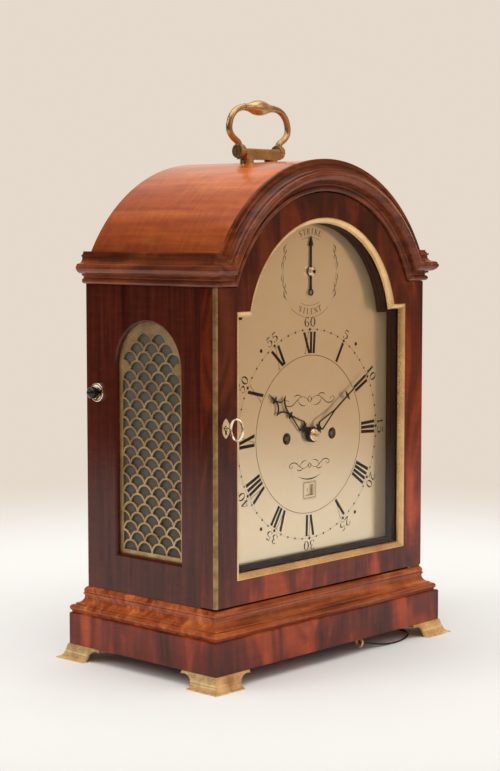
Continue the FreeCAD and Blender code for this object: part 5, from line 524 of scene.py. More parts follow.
def dial_engraving(sizes):
    """All that is engraved on the dial plate, as one surface."""
    face, rise, centre, hair = sizes.face, sizes.cut_rise, sizes.centre, sizes.line
    parts = []
    for step, word in enumerate(HOURS):
        turn = math.radians(30 * step)
        parts += word_round(str(5 * step or 60), DIGITS, sizes.minute_number_height, MINUTE_PITCH,
                            sizes.minute_number_radius, turn, centre, face, rise, MINUTE_BREADTH)
        parts += hour_number(sizes, word, turn)
    parts += [minute_dot(sizes, minute) for minute in range(60)]
    parts.append(ring_line(sizes.minute_ring_radius, 0, 360, hair / MINUTE_LINE_FINENESS, centre, face, rise))
    parts.append(ring_line(sizes.inner_ring_radius, 0, 360, hair, centre, face, rise))
    pin, quads = turned_surface([(0, face - rise), (sizes.pin_radius, face - rise),
                                 (sizes.pin_radius, face + rise), (0, face + rise)], PIN_STEPS)
    for across in (-sizes.pin_across, sizes.pin_across):
        for up in (-sizes.pin_up, sizes.pin_up):
            parts.append((pin + np.array([across, 0, centre + up]), quads))
    # The black wax ring round each winding hole is partly a ringed hole's wax and partly painted shade at the
    # hole's edge.
    ring, quads = ring_line(sizes.winding_hole + sizes.winding_ring / 2, 0, 360, sizes.winding_ring,
                            centre - sizes.winding_drop, face, rise)
    for across in (-sizes.winding_across, sizes.winding_across):
        parts.append((ring + np.array([across, 0, 0]), quads))
    parts += strike_engraving(sizes)
    parts += window_border(sizes)
    wide, fine = SCROLL_WIDE * hair, SCROLL_FINE * hair
    for level, reach, height in np.array(SCROLL_PAIRS) * sizes.inner_ring_radius:
        parts += scroll_pair(centre + level, reach, height, wide, fine, face, rise)
    return gathered(parts)


def strike_engraving(sizes):
    """Words, fine arcs and leafy flourishes round the strike lever.

    A flourish bends round the lever: its distance out is 1 + lean * across - bow * up squared.
    """
    face, rise, centre, hair = sizes.face, sizes.cut_rise, sizes.strike_centre, sizes.line
    radius, height = sizes.strike_text_radius, sizes.strike_text_height
    parts = []
    for word, middle, inwards in (("STRIKE", 0, False), ("SILENT", math.pi, True)):
        parts += word_round(word, LETTERS, height, WORD_PITCH, radius, middle, centre, face, rise,
                            WORD_BREADTH, inwards)
    for start, end, arc_radius in STRIKE_ARCS:
        parts.append(ring_line(arc_radius * radius, start, end, hair / ARC_FINENESS, centre, face, rise))
    for side in (-1, 1):
        for fold in (-1, 1):
            for curve in FLOURISH_CURVES:
                across, up = curve[:, 0], curve[:, 1]
                turns = np.column_stack([side * (1 + FLOURISH_LEAN * across - FLOURISH_BOW * up ** 2),
                                         fold * (FLOURISH_HEIGHT * up + FLOURISH_GAP)])
                placed = turns * radius + np.array([0, centre])
                line = swelling(placed, FLOURISH_WIDE * hair, FLOURISH_FINE * hair)
                parts.append(ribbon(line, face, rise))
    return parts


def window_border(sizes):
    """Double border round the date window and a curved line that swells above it."""
    face, rise, level, hair = sizes.face, sizes.cut_rise, sizes.window_level, sizes.line
    parts = []
    for growth, width in WINDOW_BORDERS:
        x, z = growth * sizes.window_width / 2, growth * sizes.window_height / 2
        corners = ((-x, z), (x, z), (x, -z), (-x, -z), (-x, z))
        for start, end in zip(corners, corners[1:]):
            rows = [(across, level + up, width * hair) for across, up in (start, end)]
            parts.append(ribbon(np.array(rows), face, rise))
    low = level + WINDOW_CURVE_LEVEL * sizes.window_height
    reach = np.array([sizes.window_width, WINDOW_CURVE_DEPTH * sizes.window_height])
    placed = np.array([0, low]) + WINDOW_CURVE * reach
    parts.append(ribbon(swelling(placed, WINDOW_WIDE * hair, WINDOW_FINE * hair), face, rise))
    return parts


def date_numbers(sizes, face):
    """The numbers 1 to 31 round the date disc, the first one under the window."""
    parts = []
    for day in range(31):
        parts += word_round(str(day + 1), DIGITS, sizes.date_height, DATE_PITCH, sizes.date_radius,
                            2 * math.pi * day / 31, sizes.date_centre, face, sizes.cut_rise)
    return gathered(parts)


# Materials

ALONG_HEIGHT = (0, 90, 0)
ALONG_WIDTH = (0, 0, 0)
ALONG_DEPTH = (0, 0, 90)


def put(tree, kind, sockets=None, **settings):
    """Adds a node; a socket given an output is linked to it, and a plain value is set."""
    node = tree.nodes.new("ShaderNode" + kind)
    for name, value in settings.items():
        setattr(node, name, value)
    for name, value in (sockets or {}).items():
        if isinstance(value, bpy.types.NodeSocket):
            tree.links.new(value, node.inputs[name])
        else:
            node.inputs[name].default_value = value
    return node


def join(tree, output, shader, name):
    """Links an output to a socket of the shader."""
    tree.links.new(output, shader.inputs[name])


def object_place(tree):
    """The object's own coordinates."""
    return put(tree, "TexCoord").outputs["Object"]


def maths(tree, operation, first, second):
    """Two values brought together by an operation."""
    return put(tree, "Math", {0: first, 1: second}, operation=operation).outputs[0]


def drawn_out(tree, vector, factors):
    """Coordinates multiplied axis by axis: a small factor draws a pattern out along its axis."""
    return put(tree, "VectorMath", {0: vector, 1: factors}, operation="MULTIPLY").outputs["Vector"]


def distance_along(tree, place, way):
    """How far a place lies along a direction."""
    return put(tree, "VectorMath", {0: place, 1: way}, operation="DOT_PRODUCT").outputs["Value"]


def spread(tree, value, low, high, to_low, to_high):
    """A value's range carried to another, kept inside it."""
    node = put(tree, "MapRange", {"Value": value, "From Min": low, "From Max": high,
                                  "To Min": to_low, "To Max": to_high})
    return node.outputs["Result"]


def noise(tree, vector, scale, detail=2.0, roughness=0.5, distortion=0.0):
    """Soft irregular pattern between 0 and 1."""
    return put(tree, "TexNoise", {"Vector": vector, "Scale": scale, "Detail": detail, "Roughness": roughness,
                                  "Distortion": distortion}).outputs["Fac"]


def bands(tree, vector, scale, distortion, direction):
    """Waving bands across a direction, between 0 and 1."""
    return put(tree, "TexWave", {"Vector": vector, "Scale": scale, "Distortion": distortion, "Detail": 1.0},
               wave_type="BANDS", bands_direction=direction).outputs["Fac"]


def ramp(tree, factor, stops):
    """Colour ramp through stops of place and colour."""
    node = put(tree, "ValToRGB", {"Fac": factor})
    elements = node.color_ramp.elements
    while len(elements) < len(stops):
        elements.new(0.5)
    for element, (place, tone) in zip(elements, stops):
        element.position = place
        element.color = (*tone, 1)
    return node.outputs["Color"]


def mixed(tree, factor, first, second, blend="MIX"):
    """Two colours mixed by a factor."""
    node = put(tree, "Mix", data_type="RGBA", blend_type=blend)
    for index, value in ((0, factor), (6, first), (7, second)):
        if isinstance(value, bpy.types.NodeSocket):
            tree.links.new(value, node.inputs[index])
        else:
            node.inputs[index].default_value = (*value, 1) if index else value
    return node.outputs[2]


def brightened(tree, tone, gain):
    """A colour made brighter or darker by a value that changes over the surface."""
    grey = put(tree, "CombineColor", {"Red": gain, "Green": gain, "Blue": gain}).outputs["Color"]
    return mixed(tree, 1.0, tone, grey, "MULTIPLY")


def relief(tree, shader, height, strength, depth):
    """Fine relief of the surface from a height, its depth in metres."""
    bump = put(tree, "Bump", {"Height": height, "Strength": strength, "Distance": depth})
    join(tree, bump.outputs["Normal"], shader, "Normal")


def new_group(name, inputs, outputs):
    """Node group with named sockets, and its input node."""
    group = bpy.data.node_groups.new(name, "ShaderNodeTree")
    for socket, kind, default in inputs:
        made = group.interface.new_socket(socket, in_out="INPUT", socket_type="NodeSocket" + kind)
        if default is not None:
            made.default_value = default
    for socket in outputs:
        group.interface.new_socket(socket, in_out="OUTPUT", socket_type="NodeSocketFloat")
    return group, group.nodes.new("NodeGroupInput")


def give_out(group, values):
    """Links a group's values to its outputs of the same names."""
    result = group.nodes.new("NodeGroupOutput")
    for name, value in values.items():
        group.links.new(value, result.inputs[name])


def wood_group():
    """Grain of a veneer whose fibres run along the vector's X: streaks, flames, ripple, pores and height."""
    group, entry = new_group(
        "veneer_grain", [("Vector", "Vector", None), ("Streak Scale", "Float", 150.0),
                         ("Flame Scale", "Float", 16.0), ("Flame Bend", "Float", 1.6)],
        ("Streaks", "Flames", "Ripple", "Pores", "Height"))
    vector = entry.outputs["Vector"]
    streaks = noise(group, drawn_out(group, vector, (0.05, 1, 1)), entry.outputs["Streak Scale"], 6.0, 0.62,
                    0.4)
    flames = noise(group, drawn_out(group, vector, (0.34, 1, 1)), entry.outputs["Flame Scale"], 3.0, 0.5,
                   entry.outputs["Flame Bend"])
    ripple = noise(group, drawn_out(group, vector, (1, 0.22, 0.22)), 260.0, 2.0, 0.5, 0.6)
    pores = spread(group, noise(group, drawn_out(group, vector, (0.07, 1, 1)), 1900.0), 0.60, 0.72, 0.0, 1.0)
    height = maths(group, "ADD", streaks, maths(group, "MULTIPLY", pores, -0.7))
    give_out(group, {"Streaks": streaks, "Flames": flames, "Ripple": ripple, "Pores": pores,
                     "Height": height})
    return group


def metal_group():
    """Tarnish, fine scratches and height of old metal."""
    group, entry = new_group("old_metal", [("Vector", "Vector", None), ("Patch Scale", "Float", 60.0)],
                             ("Tarnish", "Scratches", "Height"))
    vector = entry.outputs["Vector"]
    patches = noise(group, vector, entry.outputs["Patch Scale"], 5.0, 0.65, 0.3)
    tarnish = spread(group, patches, 0.38, 0.72, 0.0, 1.0)
    scratches = noise(group, drawn_out(group, vector, (1, 0.06, 1)), 2400.0, 2.0, 0.6)
    height = maths(group, "ADD", patches, scratches)
    give_out(group, {"Tarnish": tarnish, "Scratches": scratches, "Height": height})
    return group


def shared_group(name, maker):
    """The group of this name, made if it isn't there yet."""
    return bpy.data.node_groups.get(name) or maker()


def new_material(name):
    """Empty material with its tree and its shader node."""
    material = bpy.data.materials.new(name)
    material.use_nodes = True
    tree = material.node_tree
    tree.nodes.clear()
    shader = put(tree, "BsdfPrincipled")
    put(tree, "OutputMaterial", {"Surface": shader.outputs["BSDF"]})
    return material, tree, shader


def varnished_wood(name, dark, middle, light, turn, flame=0.5, flame_scale=16.0, bend=1.6,
                   streak_scale=150.0, ripple=0.12, coat=0.6, coat_roughness=0.07, roughness=0.4,
                   painted_light=None):
    """Varnished veneer: grain turned into place, dark streaks, light flames, pores and a glossy coat.

    A painted light is a direction, the two places along it in metres, and the shares of brightness there:
    light and shade painted into the colour along that direction.
    """
    material, tree, shader = new_material(name)
    place = object_place(tree)
    rotation = tuple(math.radians(part) for part in turn)
    turned = put(tree, "Mapping", {"Vector": place, "Rotation": rotation}).outputs["Vector"]
    grain = put(tree, "Group", {"Vector": turned, "Streak Scale": streak_scale, "Flame Scale": flame_scale,
                                "Flame Bend": bend},
                node_tree=shared_group("veneer_grain", wood_group)).outputs
    body = ramp(tree, grain["Streaks"], [(0.28, dark), (0.52, middle), (0.78, light)])
    flames = ramp(tree, grain["Flames"], [(0.34, dark), (0.5, middle), (0.62, light)])
    tone = mixed(tree, flame, body, flames)
    tone = brightened(tree, tone, spread(tree, grain["Ripple"], 0.35, 0.7, 1 - ripple, 1 + ripple))
    # Painted light: the colour made lighter or darker along a direction
    if painted_light:
        way, low, high, least, most = painted_light
        tone = brightened(tree, tone, spread(tree, distance_along(tree, place, way), low, high, least, most))
    tone = mixed(tree, spread(tree, grain["Pores"], 0, 1, 0, 0.45), tone, scaled(dark, 0.4))
    join(tree, tone, shader, "Base Color")
    rough = spread(tree, grain["Streaks"], 0.3, 0.75, roughness - 0.05, roughness + 0.08)
    join(tree, rough, shader, "Roughness")
    relief(tree, shader, grain["Height"], 0.12, 0.0004)
    shader.inputs["Coat Weight"].default_value = coat
    shader.inputs["Coat Roughness"].default_value = coat_roughness
    shader.inputs["Specular IOR Level"].default_value = 0.06
    return material


def old_metal(name, clean, old, tarnish, roughness, patch_scale, metallic=1.0):
    """Metal with old patches in its colour and fine scratches in its gloss."""
    material, tree, shader = new_material(name)
    wear = put(tree, "Group", {"Vector": object_place(tree), "Patch Scale": patch_scale},
               node_tree=shared_group("old_metal", metal_group)).outputs
    amount = spread(tree, wear["Tarnish"], 0, 1, 0, tarnish)
    join(tree, mixed(tree, amount, clean, old), shader, "Base Color")
    rough = spread(tree, wear["Scratches"], 0.3, 0.7, roughness - 0.05, roughness + 0.1)
    join(tree, rough, shader, "Roughness")
    relief(tree, shader, wear["Height"], 0.06, 0.0002)
    shader.inputs["Metallic"].default_value = metallic
    return material


def silvered(name, pale, warm):
    """Lacquered silvering: toned in broad soft patches, mirror-like only in a strong clear reflection."""
    material, tree, shader = new_material(name)
    place = object_place(tree)
    amount = spread(tree, noise(tree, place, 14.0, 4.0, 0.55, 0.5), 0.35, 0.7, 0.0, 0.55)
    join(tree, mixed(tree, amount, pale, warm), shader, "Base Color")
    fine = noise(tree, place, 2600.0, 2.0, 0.6)
    join(tree, spread(tree, fine, 0.3, 0.7, 0.16, 0.24), shader, "Roughness")
    relief(tree, shader, fine, 0.05, 0.0001)
    shader.inputs["Metallic"].default_value = 0.35
    shader.inputs["IOR"].default_value = 2.5
    shader.inputs["Specular IOR Level"].default_value = 1.0
    return material


def clear_glass(name):
    """Thin old window glass with a faint waviness."""
    material, tree, shader = new_material(name)
    relief(tree, shader, noise(tree, object_place(tree), 18.0, 1.0), 0.05, 0.0005)
    shader.inputs["Base Color"].default_value = (0.98, 0.99, 0.98, 1)
    shader.inputs["Roughness"].default_value = 0.0
    shader.inputs["IOR"].default_value = 1.22
    shader.inputs["Transmission Weight"].default_value = 1.0
    return material


def woven_cloth(name, ground, thread):
    """Plain weave: two sets of crossing threads from the cloth's own surface coordinates."""
    material, tree, shader = new_material(name)
    place = put(tree, "UVMap", uv_map=WEAVE).outputs["UV"]
    warp, weft = (bands(tree, place, 260.0, 0.6, direction) for direction in "XY")
    over = maths(tree, "MULTIPLY", warp, weft)
    fade = noise(tree, place, 24.0, 4.0, 0.6)
    amount = maths(tree, "MULTIPLY", over, spread(tree, fade, 0.35, 0.7, 0.2, 1.0))
    join(tree, mixed(tree, amount, ground, thread), shader, "Base Color")
    join(tree, spread(tree, over, 0, 1, 0.95, 0.75), shader, "Roughness")
    relief(tree, shader, over, 0.5, 0.0002)
    shader.inputs["Sheen Weight"].default_value = 0.3
    return material


def twisted_line(name, black):
    """Black line with fine twisted strands."""
    material, tree, shader = new_material(name)
    strands = bands(tree, object_place(tree), 420.0, 1.5, "DIAGONAL")
    tone = mixed(tree, spread(tree, strands, 0, 1, 0, 0.5), black, scaled(black, 3))
    join(tree, tone, shader, "Base Color")
    join(tree, spread(tree, strands, 0, 1, 0.5, 0.7), shader, "Roughness")
    relief(tree, shader, strands, 0.4, 0.0002)
    return material


def engraved_wax(name, black):
    """Black wax with a slightly broken surface."""
    material, tree, shader = new_material(name)
    grain = noise(tree, object_place(tree), 900.0, 3.0)
    tone = mixed(tree, spread(tree, grain, 0.4, 0.75, 0, 0.5), black, scaled(black, 2.6))
    join(tree, tone, shader, "Base Color")
    join(tree, spread(tree, grain, 0.3, 0.7, 0.6, 0.85), shader, "Roughness")
    shader.inputs["Specular IOR Level"].default_value = 0.1
    return material


def finish_nodes(slot, material, only=None):
    """Gives the material to the CAD nodes of a slot, or to those named."""
    for part in frame["record"]["subparts"]:
        if part["material_slot"] == slot and (only is None or part["node"] in only):
            made = frame["nodes"][part["node"]]
            made.data.materials.clear()
            made.data.materials.append(material)


def settings_of(context):
    """The three groups of settings: dial sizes, finishes and stage."""
    scene = context.scene
    return scene.clock_dial_sizes, scene.clock_finishes, scene.clock_stage


# Line: its route from its ring as shares of its reach to the right, to the back and up; the ring, the reach
# and the radius in millimetres

LINE_SHARES = ((0, 0, .17), (.148, -.018, .1), (.296, -.064, .031), (.432, -.084, 0), (.568, -.087, 0),
               (.704, -.036, 0), (.827, .045, 0), (.926, .145, 0), (.994, .273, 0), (1, .418, 0),
               (.914, .636, 0), (.79, .782, 0), (.691, .891, .058), (.617, .964, .335), (.58, 1, .668),
               (.568, 1, 1))
LINE_RING = (38.0, -75.45)
LINE_REACH = (81.0, 55.0, 36.1)
LINE_RADIUS = 0.7

# Stage: lamps by name, place, aim, size and power; ways to the right, beyond the clock and on the camera's
# side of it, towards which the floor is drawn darker in painted shade; the pale floor's middle, where it
# fades, seen directly and mirrored, and its rings; the camera's place, its dip and turn in degrees, and its
# lens in millimetres

LAMPS = (("lamp_top", (-0.1, -0.15, 2.4), (0, 0, 0.2), 3.0, "top_power"),
         ("lamp_front", (1.2, -2.4, 1.6), (0, 0, 0.2), 1.4, "front_power"),
         ("lamp_side", (-2.2, 1.2, 1.6), (0, 0, 0.3), 1.2, "side_power"))
FILL_TONE = (1, 0.985, 0.96, 1)
RIGHTWARD, BEYOND, NEARER = (0.6, -0.8, 0), (0.73, 0.68, 0), (-0.73, -0.68, 0)
FLOOR_MIDDLE = (0.06, 0.055, 0)
FLOOR_FADE = ((0.36, 0.7), (0.92, 1.8))
FLOOR_RINGS = (0.0, 0.3, 0.6, 1.2, 3.0, 10.0, 30.0)
FLOOR_POINTS = 64
CAMERA_PLACE = (-1.0564, -0.9699, 0.3426)
CAMERA_DIP, CAMERA_TURN = 5.10, -47.133
CAMERA_LENS, SENSOR_WIDTH = 82.37, 36


# Operators

class CLOCK_OT_wood(bpy.types.Operator):
    """Finish the door, sides, roof, mouldings and inside boards in mahogany"""
    bl_idname = "clock.wood"
    bl_label = "Finish the Wood"

    def execute(self, context):
        tone = settings_of(context)[1]
        door = (tone.door_dark, tone.door_mid, tone.door_light)
        side = (tone.side_dark, tone.side_mid, tone.side_light)
        roof = (tone.roof_dark, tone.roof_mid, tone.roof_light)
        moulding = (tone.moulding_dark, tone.moulding_mid, tone.moulding_light)
        base = (tone.base_dark, tone.base_mid, tone.base_light)
        mask = (scaled(tone.mask_wood, 0.5), tone.mask_wood, scaled(tone.mask_wood, 1.6))
        inside = (scaled(tone.inside_wood, 0.5), tone.inside_wood, scaled(tone.inside_wood, 1.4))
        # Painted light on the door: its colour drawn from 0.52 times towards the top up to 1.5 times towards
        # the bottom and right, standing in for the floor's reflection low down.
        finish_nodes("mahogany_door", varnished_wood(
            "mahogany_door", *door, ALONG_HEIGHT, flame=0.62, flame_scale=26, bend=1.1, ripple=0.1,
            painted_light=((4, 0, -6), -1.7, -0.5, 0.52, 1.5)))
        # Painted light on the plinth: its colour drawn 1.4 times lighter all over, standing in for the
        # floor's light on it.
        finish_nodes("mahogany_door", varnished_wood(
            "mahogany_plinth", *door, ALONG_HEIGHT, flame=0.7, flame_scale=20, bend=1.4, ripple=0.1,
            painted_light=((0, 0, 1), 0, 0.04, 1.4, 1.4)), ("plinth",))
        finish_nodes("mahogany_side", varnished_wood(
            "mahogany_side", *side, ALONG_HEIGHT, flame=0.3, flame_scale=12, streak_scale=190))
        # Painted light on the roof: its colour drawn from 0.42 times at the lower edge up to 1.12 times
        # towards the top and right, standing in for the lamp above.
        finish_nodes("mahogany_roof", varnished_wood(
            "mahogany_roof", *roof, ALONG_DEPTH, flame=0.4, flame_scale=22, bend=0.9, streak_scale=120,
            ripple=0.1, coat=1.0, coat_roughness=0.2, painted_light=((1, 0, 2), 0.50, 0.74, 0.42, 1.12)))
        finish_nodes("mahogany_moulding", varnished_wood(
            "mahogany_moulding_front", *moulding, ALONG_WIDTH, flame=0.3, flame_scale=30))
        finish_nodes("mahogany_moulding", varnished_wood(
            "mahogany_moulding_side", *moulding, ALONG_DEPTH, flame=0.3, flame_scale=30),
            ("cornice_returns",))
        # The base moulding's lighter colours are painted light: highlights and floor light drawn into the
        # colour.
        finish_nodes("mahogany_moulding", varnished_wood(
            "mahogany_moulding_base", *base, ALONG_WIDTH, flame=0.3, flame_scale=30), ("base_moulding",))
        finish_nodes("dark_wood", varnished_wood(
            "dark_wood", *mask, ALONG_HEIGHT, flame=0.2, coat=0.0, roughness=0.6))
        finish_nodes("inside_wood", varnished_wood(
            "inside_wood", *inside, ALONG_WIDTH, flame=0.3, coat=0.0, roughness=0.6))
        return {"FINISHED"}


class CLOCK_OT_metal(bpy.types.Operator):
    """Finish the mounts, frets, movement, bell, dial and hands"""
    bl_idname = "clock.metal"
    bl_label = "Finish the Metal"

    def execute(self, context):
        tone = settings_of(context)[1]
        brass, worn, works = tone.brass, tone.brass_old, tone.movement_brass
        steel, hands = tone.steel, tone.hands
        # slot, finish, clean colour, old colour, (tarnish, roughness, patches per metre, metallic), nodes
        for slot, name, clean, old, gloss, nodes in (
                ("case_brass", "case_brass", brass, worn, (1.0, 0.3, 70, 0.65), None),
                ("case_brass", "bezel_brass", brass, worn, (0.7, 0.24, 26, 0.75), ("door_bezel",)),
                ("case_brass", "fret_brass", scaled(brass, 0.6), scaled(worn, 0.6), (0.9, 0.32, 60, 0.65),
                 ("fret_left", "fret_right")),
                ("case_brass", "dull_brass", scaled(brass, 0.55), scaled(worn, 0.4), (0.9, 0.4, 120),
                 ("door_corner_strip",)),
                ("case_brass", "handle_brass", scaled(brass, 0.62), scaled(worn, 0.6), (0.85, 0.3, 70),
                 ("handle_bail", "handle_base", "handle_fixings")),
                ("case_brass", "pale_brass", tone.pale_brass, brass, (0.5, 0.2, 90),
                 ("door_key", "door_escutcheon", "repeat_ferrule", "hand_collet", "strike_collet")),
                ("movement_brass", "movement_brass", works, worn, (0.4, 0.3, 50), None),
                # Painted shade: the fusees' steel drawn at 0.35 and 0.15 times its colour, so that the
                # winding squares look black in their holes.
                ("movement_brass", "winding_steel", scaled(steel, 0.35), scaled(steel, 0.15),
                 (0.8, 0.35, 120), ("going_fusee", "strike_fusee")),
                ("movement_brass", "pivot_brass", scaled(works, 0.3), scaled(worn, 0.2), (0.9, 0.5, 120),
                 ("pivot_plates",)),
                ("bell_metal", "bell_metal", tone.bell, worn, (0.4, 0.22, 40), None),
                ("steel", "steel", steel, scaled(steel, 0.5), (0.5, 0.28, 80), None),
                ("hand_steel", "hand_steel", hands, scaled(hands, 0.5), (0.5, 0.34, 120, 0.75), None)):
            finish_nodes(slot, old_metal(name, clean, old, *gloss), nodes)
        finish_nodes("silvered_brass", silvered("silvered_brass", tone.dial, tone.dial_warm))
        return {"FINISHED"}


class CLOCK_OT_glass(bpy.types.Operator):
    """Glaze both doors and finish the ebony of the pull and the back door's knob"""
    bl_idname = "clock.glass"
    bl_label = "Finish the Glass and the Ebony"

    def execute(self, context):
        ebony = settings_of(context)[1].ebony
        finish_nodes("door_glass", clear_glass("door_glass"))
        finish_nodes("ebony", varnished_wood("ebony", scaled(ebony, 0.5), ebony, scaled(ebony, 2),
                                             ALONG_WIDTH, coat=0.8, roughness=0.3))
        return {"FINISHED"}


class CLOCK_OT_dial(bpy.types.Operator):
    """Engrave the dial plate and the date disc"""
    bl_idname = "clock.dial"
    bl_label = "Engrave the Dial"

    def execute(self, context):
        sizes, tone, _ = settings_of(context)
        wax = engraved_wax("engraved_wax", tone.wax)
        piece("dial_engraving", dial_engraving(sizes), "case", wax)
        low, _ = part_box("date_disc")
        piece("date_numbers", date_numbers(sizes, low.y), "calendar", wax)
        return {"FINISHED"}


class CLOCK_OT_cloths(bpy.types.Operator):
    """Stretch the cloths behind both frets"""
    bl_idname = "clock.cloths"
    bl_label = "Stretch the Fret Cloths"

    def execute(self, context):
        tone = settings_of(context)[1]
        material = woven_cloth("fret_cloth", tone.cloth, tone.cloth_light)
        low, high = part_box("fret_cloths")
        for name, side in (("cloth_left", -1), ("cloth_right", 1)):
            made = piece(name, cloth_surface(low, high, side), "case", material)
            map_weave(made)
            made.data.shade_smooth()
            made.data.set_sharp_from_angle(angle=math.radians(CLOTH_SHARP))
            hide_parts("fret_cloths")
        return {"FINISHED"}


class CLOCK_OT_line(bpy.types.Operator):
    """Lay the black line from its ring round the right front foot"""
    bl_idname = "clock.line"
    bl_label = "Lay the Line"

    def execute(self, context):
        start = np.array([*LINE_RING, LINE_RADIUS])
        route = (start + np.array(LINE_SHARES) * np.array(LINE_REACH)) * MM
        curve = bpy.data.curves.new("floor_line", "CURVE")
        curve.dimensions = "3D"
        spline = curve.splines.new("NURBS")
        spline.points.add(len(route) - 1)
        spline.points.foreach_set("co", np.column_stack([route, np.ones(len(route))]).ravel())
        spline.order_u = 3
        spline.use_endpoint_u = True
        spline.resolution_u = 8
        curve.bevel_depth = LINE_RADIUS * MM
        curve.bevel_resolution = 4
        curve.use_fill_caps = True
        curve.materials.append(twisted_line("black_line", settings_of(context)[1].line_black))
        made = bpy.data.objects.new("floor_line", curve)
        context.scene.collection.objects.link(made)
        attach(made, "case")
        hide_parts("floor_cord")
        return {"FINISHED"}


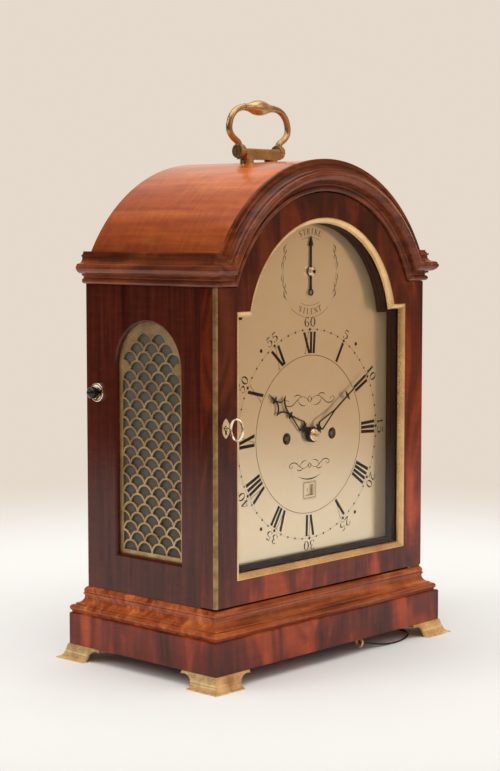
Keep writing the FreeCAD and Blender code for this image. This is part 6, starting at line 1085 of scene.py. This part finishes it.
class CLOCK_OT_stage(bpy.types.Operator):
    """Set the floor, background, lamps and camera"""
    bl_idname = "clock.stage"
    bl_label = "Set the Stage"

    def execute(self, context):
        stage = settings_of(context)[2]
        scene = context.scene
        scene.view_settings.view_transform = "Standard"
        self.world(scene, stage)
        self.floor(scene, stage)
        for name, place, aim, size, watts in LAMPS:
            self.lamp(scene, name, place, aim, size, getattr(stage, watts))
        self.camera(scene)
        return {"FINISHED"}

    def world(self, scene, stage):
        """Fill light for the object, and the background colour for what sees past it."""
        world = bpy.data.worlds.new("surroundings")
        scene.world = world
        world.use_nodes = True
        tree = world.node_tree
        tree.nodes.clear()
        seen, tone = self.seen(tree, stage, put(tree, "TexCoord").outputs["Generated"])
        light = put(tree, "Background", {"Color": FILL_TONE, "Strength": stage.fill})
        view = put(tree, "Background", {"Color": tone, "Strength": 1.0})
        both = put(tree, "MixShader", {0: seen, 1: light.outputs[0], 2: view.outputs[0]})
        put(tree, "OutputWorld", {"Surface": both.outputs[0]})

    def seen(self, tree, stage, way):
        """One where a ray comes from the camera, a gloss or a glass, and the colour it finds along a way."""
        path = put(tree, "LightPath").outputs
        unmirrored = maths(tree, "LESS_THAN", path["Glossy Depth"], 0.5)
        direct = maths(tree, "LESS_THAN", path["Diffuse Depth"], 0.5)
        clear = maths(tree, "MAXIMUM", path["Is Camera Ray"], path["Is Transmission Ray"])
        seen = maths(tree, "MULTIPLY", maths(tree, "MAXIMUM", clear, path["Is Glossy Ray"]), direct)
        bright = spread(tree, distance_along(tree, way, RIGHTWARD), -0.5, 0.7, stage.gloss_left,
                        stage.gloss_right)
        room = mixed(tree, bright, (0, 0, 0), stage.gloss_tone)
        behind = spread(tree, distance_along(tree, way, BEYOND), 0.3, 0.85, 0, 1)
        room = mixed(tree, behind, room, stage.background)
        return seen, mixed(tree, unmirrored, room, stage.background)

    def floor(self, scene, stage):
        """Disc whose pale middle fades into the background: radius from rings, points round each ring."""
        material = bpy.data.materials.new("pale_floor")
        material.use_nodes = True
        tree = material.node_tree
        tree.nodes.clear()
        place = object_place(tree)
        from_middle = put(tree, "VectorMath", {0: place, 1: FLOOR_MIDDLE},
                          operation="DISTANCE").outputs["Value"]
        gloss = maths(tree, "GREATER_THAN", put(tree, "LightPath").outputs["Glossy Depth"], 0.5)
        start, end = (spread(tree, gloss, 0, 1, plain, mirrored) for plain, mirrored in FLOOR_FADE)
        fade = put(tree, "MapRange", {"Value": from_middle, "From Min": start, "From Max": end},
                   interpolation_type="SMOOTHSTEP").outputs["Result"]
        paper = spread(tree, noise(tree, place, 5.0), 0.3, 0.7, 0, 0.25)
        tone = mixed(tree, paper, stage.floor, scaled(stage.floor, 0.97))
        # Painted shade on the floor: its colour drawn down to 0.8 times towards the camera.
        painted_shade_near = spread(tree, distance_along(tree, place, NEARER), 0.15, 0.6, 0, 1)
        tone = mixed(tree, painted_shade_near, tone, scaled(stage.floor, 0.8))
        diffuse = put(tree, "BsdfDiffuse", {"Color": tone})
        way = put(tree, "VectorMath", {0: place}, operation="NORMALIZE").outputs["Vector"]
        seen, tone_far = self.seen(tree, stage, way)
        glow = put(tree, "Emission", {"Color": tone_far, "Strength": 1.0})
        amount = maths(tree, "MULTIPLY", fade, seen)
        both = put(tree, "MixShader", {0: amount, 1: diffuse.outputs[0], 2: glow.outputs[0]})
        put(tree, "OutputMaterial", {"Surface": both.outputs[0]})
        radius = np.array(FLOOR_RINGS)
        angle = np.linspace(0, 2 * math.pi, FLOOR_POINTS, endpoint=False)
        points = np.stack([radius[:, None] * np.cos(angle), radius[:, None] * np.sin(angle),
                           np.zeros((len(radius), len(angle)))], -1).reshape(-1, 3)
        mesh = bpy.data.meshes.new("floor")
        quads = grid_faces(len(radius), len(angle), False, True)
        mesh.from_pydata(points.tolist(), [], quads[:, ::-1].tolist())
        mesh.materials.append(material)
        floor = bpy.data.objects.new("floor", mesh)
        scene.collection.objects.link(floor)

    def lamp(self, scene, name, place, aim, size, watts):
        """Square soft lamp at a place, aimed at a point."""
        light = bpy.data.lights.new(name, "AREA")
        light.shape = "SQUARE"
        light.size = size
        light.energy = watts
        made = bpy.data.objects.new(name, light)
        made.location = place
        made.rotation_euler = (Vector(aim) - Vector(place)).to_track_quat("-Z", "Y").to_euler()
        scene.collection.objects.link(made)

    def camera(self, scene):
        """Camera at its place, turned from north and dipped towards the clock by angles in degrees."""
        camera = bpy.data.cameras.new("camera")
        camera.lens = CAMERA_LENS
        camera.sensor_width = SENSOR_WIDTH
        made = bpy.data.objects.new("camera", camera)
        made.location = CAMERA_PLACE
        made.rotation_euler = (math.radians(90 - CAMERA_DIP), 0, math.radians(CAMERA_TURN))
        scene.collection.objects.link(made)
        scene.camera = made


class CLOCK_PT_panel(bpy.types.Panel):
    """Sizes, colours and steps of the clock"""
    bl_idname = "CLOCK_PT_panel"
    bl_label = "Arched Table Clock"
    bl_space_type = "VIEW_3D"
    bl_region_type = "UI"
    bl_category = "Clock"

    def draw(self, context):
        layout = self.layout
        for operator in STEPS:
            layout.operator(operator.bl_idname)
        for group in settings_of(context):
            box = layout.box()
            for name in group.__annotations__:
                box.prop(group, name)


STEPS = (CLOCK_OT_stage, CLOCK_OT_line, CLOCK_OT_wood, CLOCK_OT_metal, CLOCK_OT_glass, CLOCK_OT_dial,
         CLOCK_OT_cloths)
GROUPS = (("clock_dial_sizes", ClockDialSizes), ("clock_finishes", ClockFinishes),
          ("clock_stage", ClockStage))


def register():
    for name, group in GROUPS:
        bpy.utils.register_class(group)
        setattr(bpy.types.Scene, name, bpy.props.PointerProperty(type=group))
    for operator in STEPS:
        bpy.utils.register_class(operator)
    bpy.utils.register_class(CLOCK_PT_panel)


def unregister():
    bpy.utils.unregister_class(CLOCK_PT_panel)
    for operator in reversed(STEPS):
        bpy.utils.unregister_class(operator)
    for name, group in reversed(GROUPS):
        delattr(bpy.types.Scene, name)
        bpy.utils.unregister_class(group)


def main():
    register()
    bpy.ops.clock.stage()
    bpy.ops.clock.line()
    bpy.ops.clock.wood()
    bpy.ops.clock.metal()
    bpy.ops.clock.glass()
    bpy.ops.clock.dial()
    bpy.ops.clock.cloths()


if __name__ == "__main__":
    main()
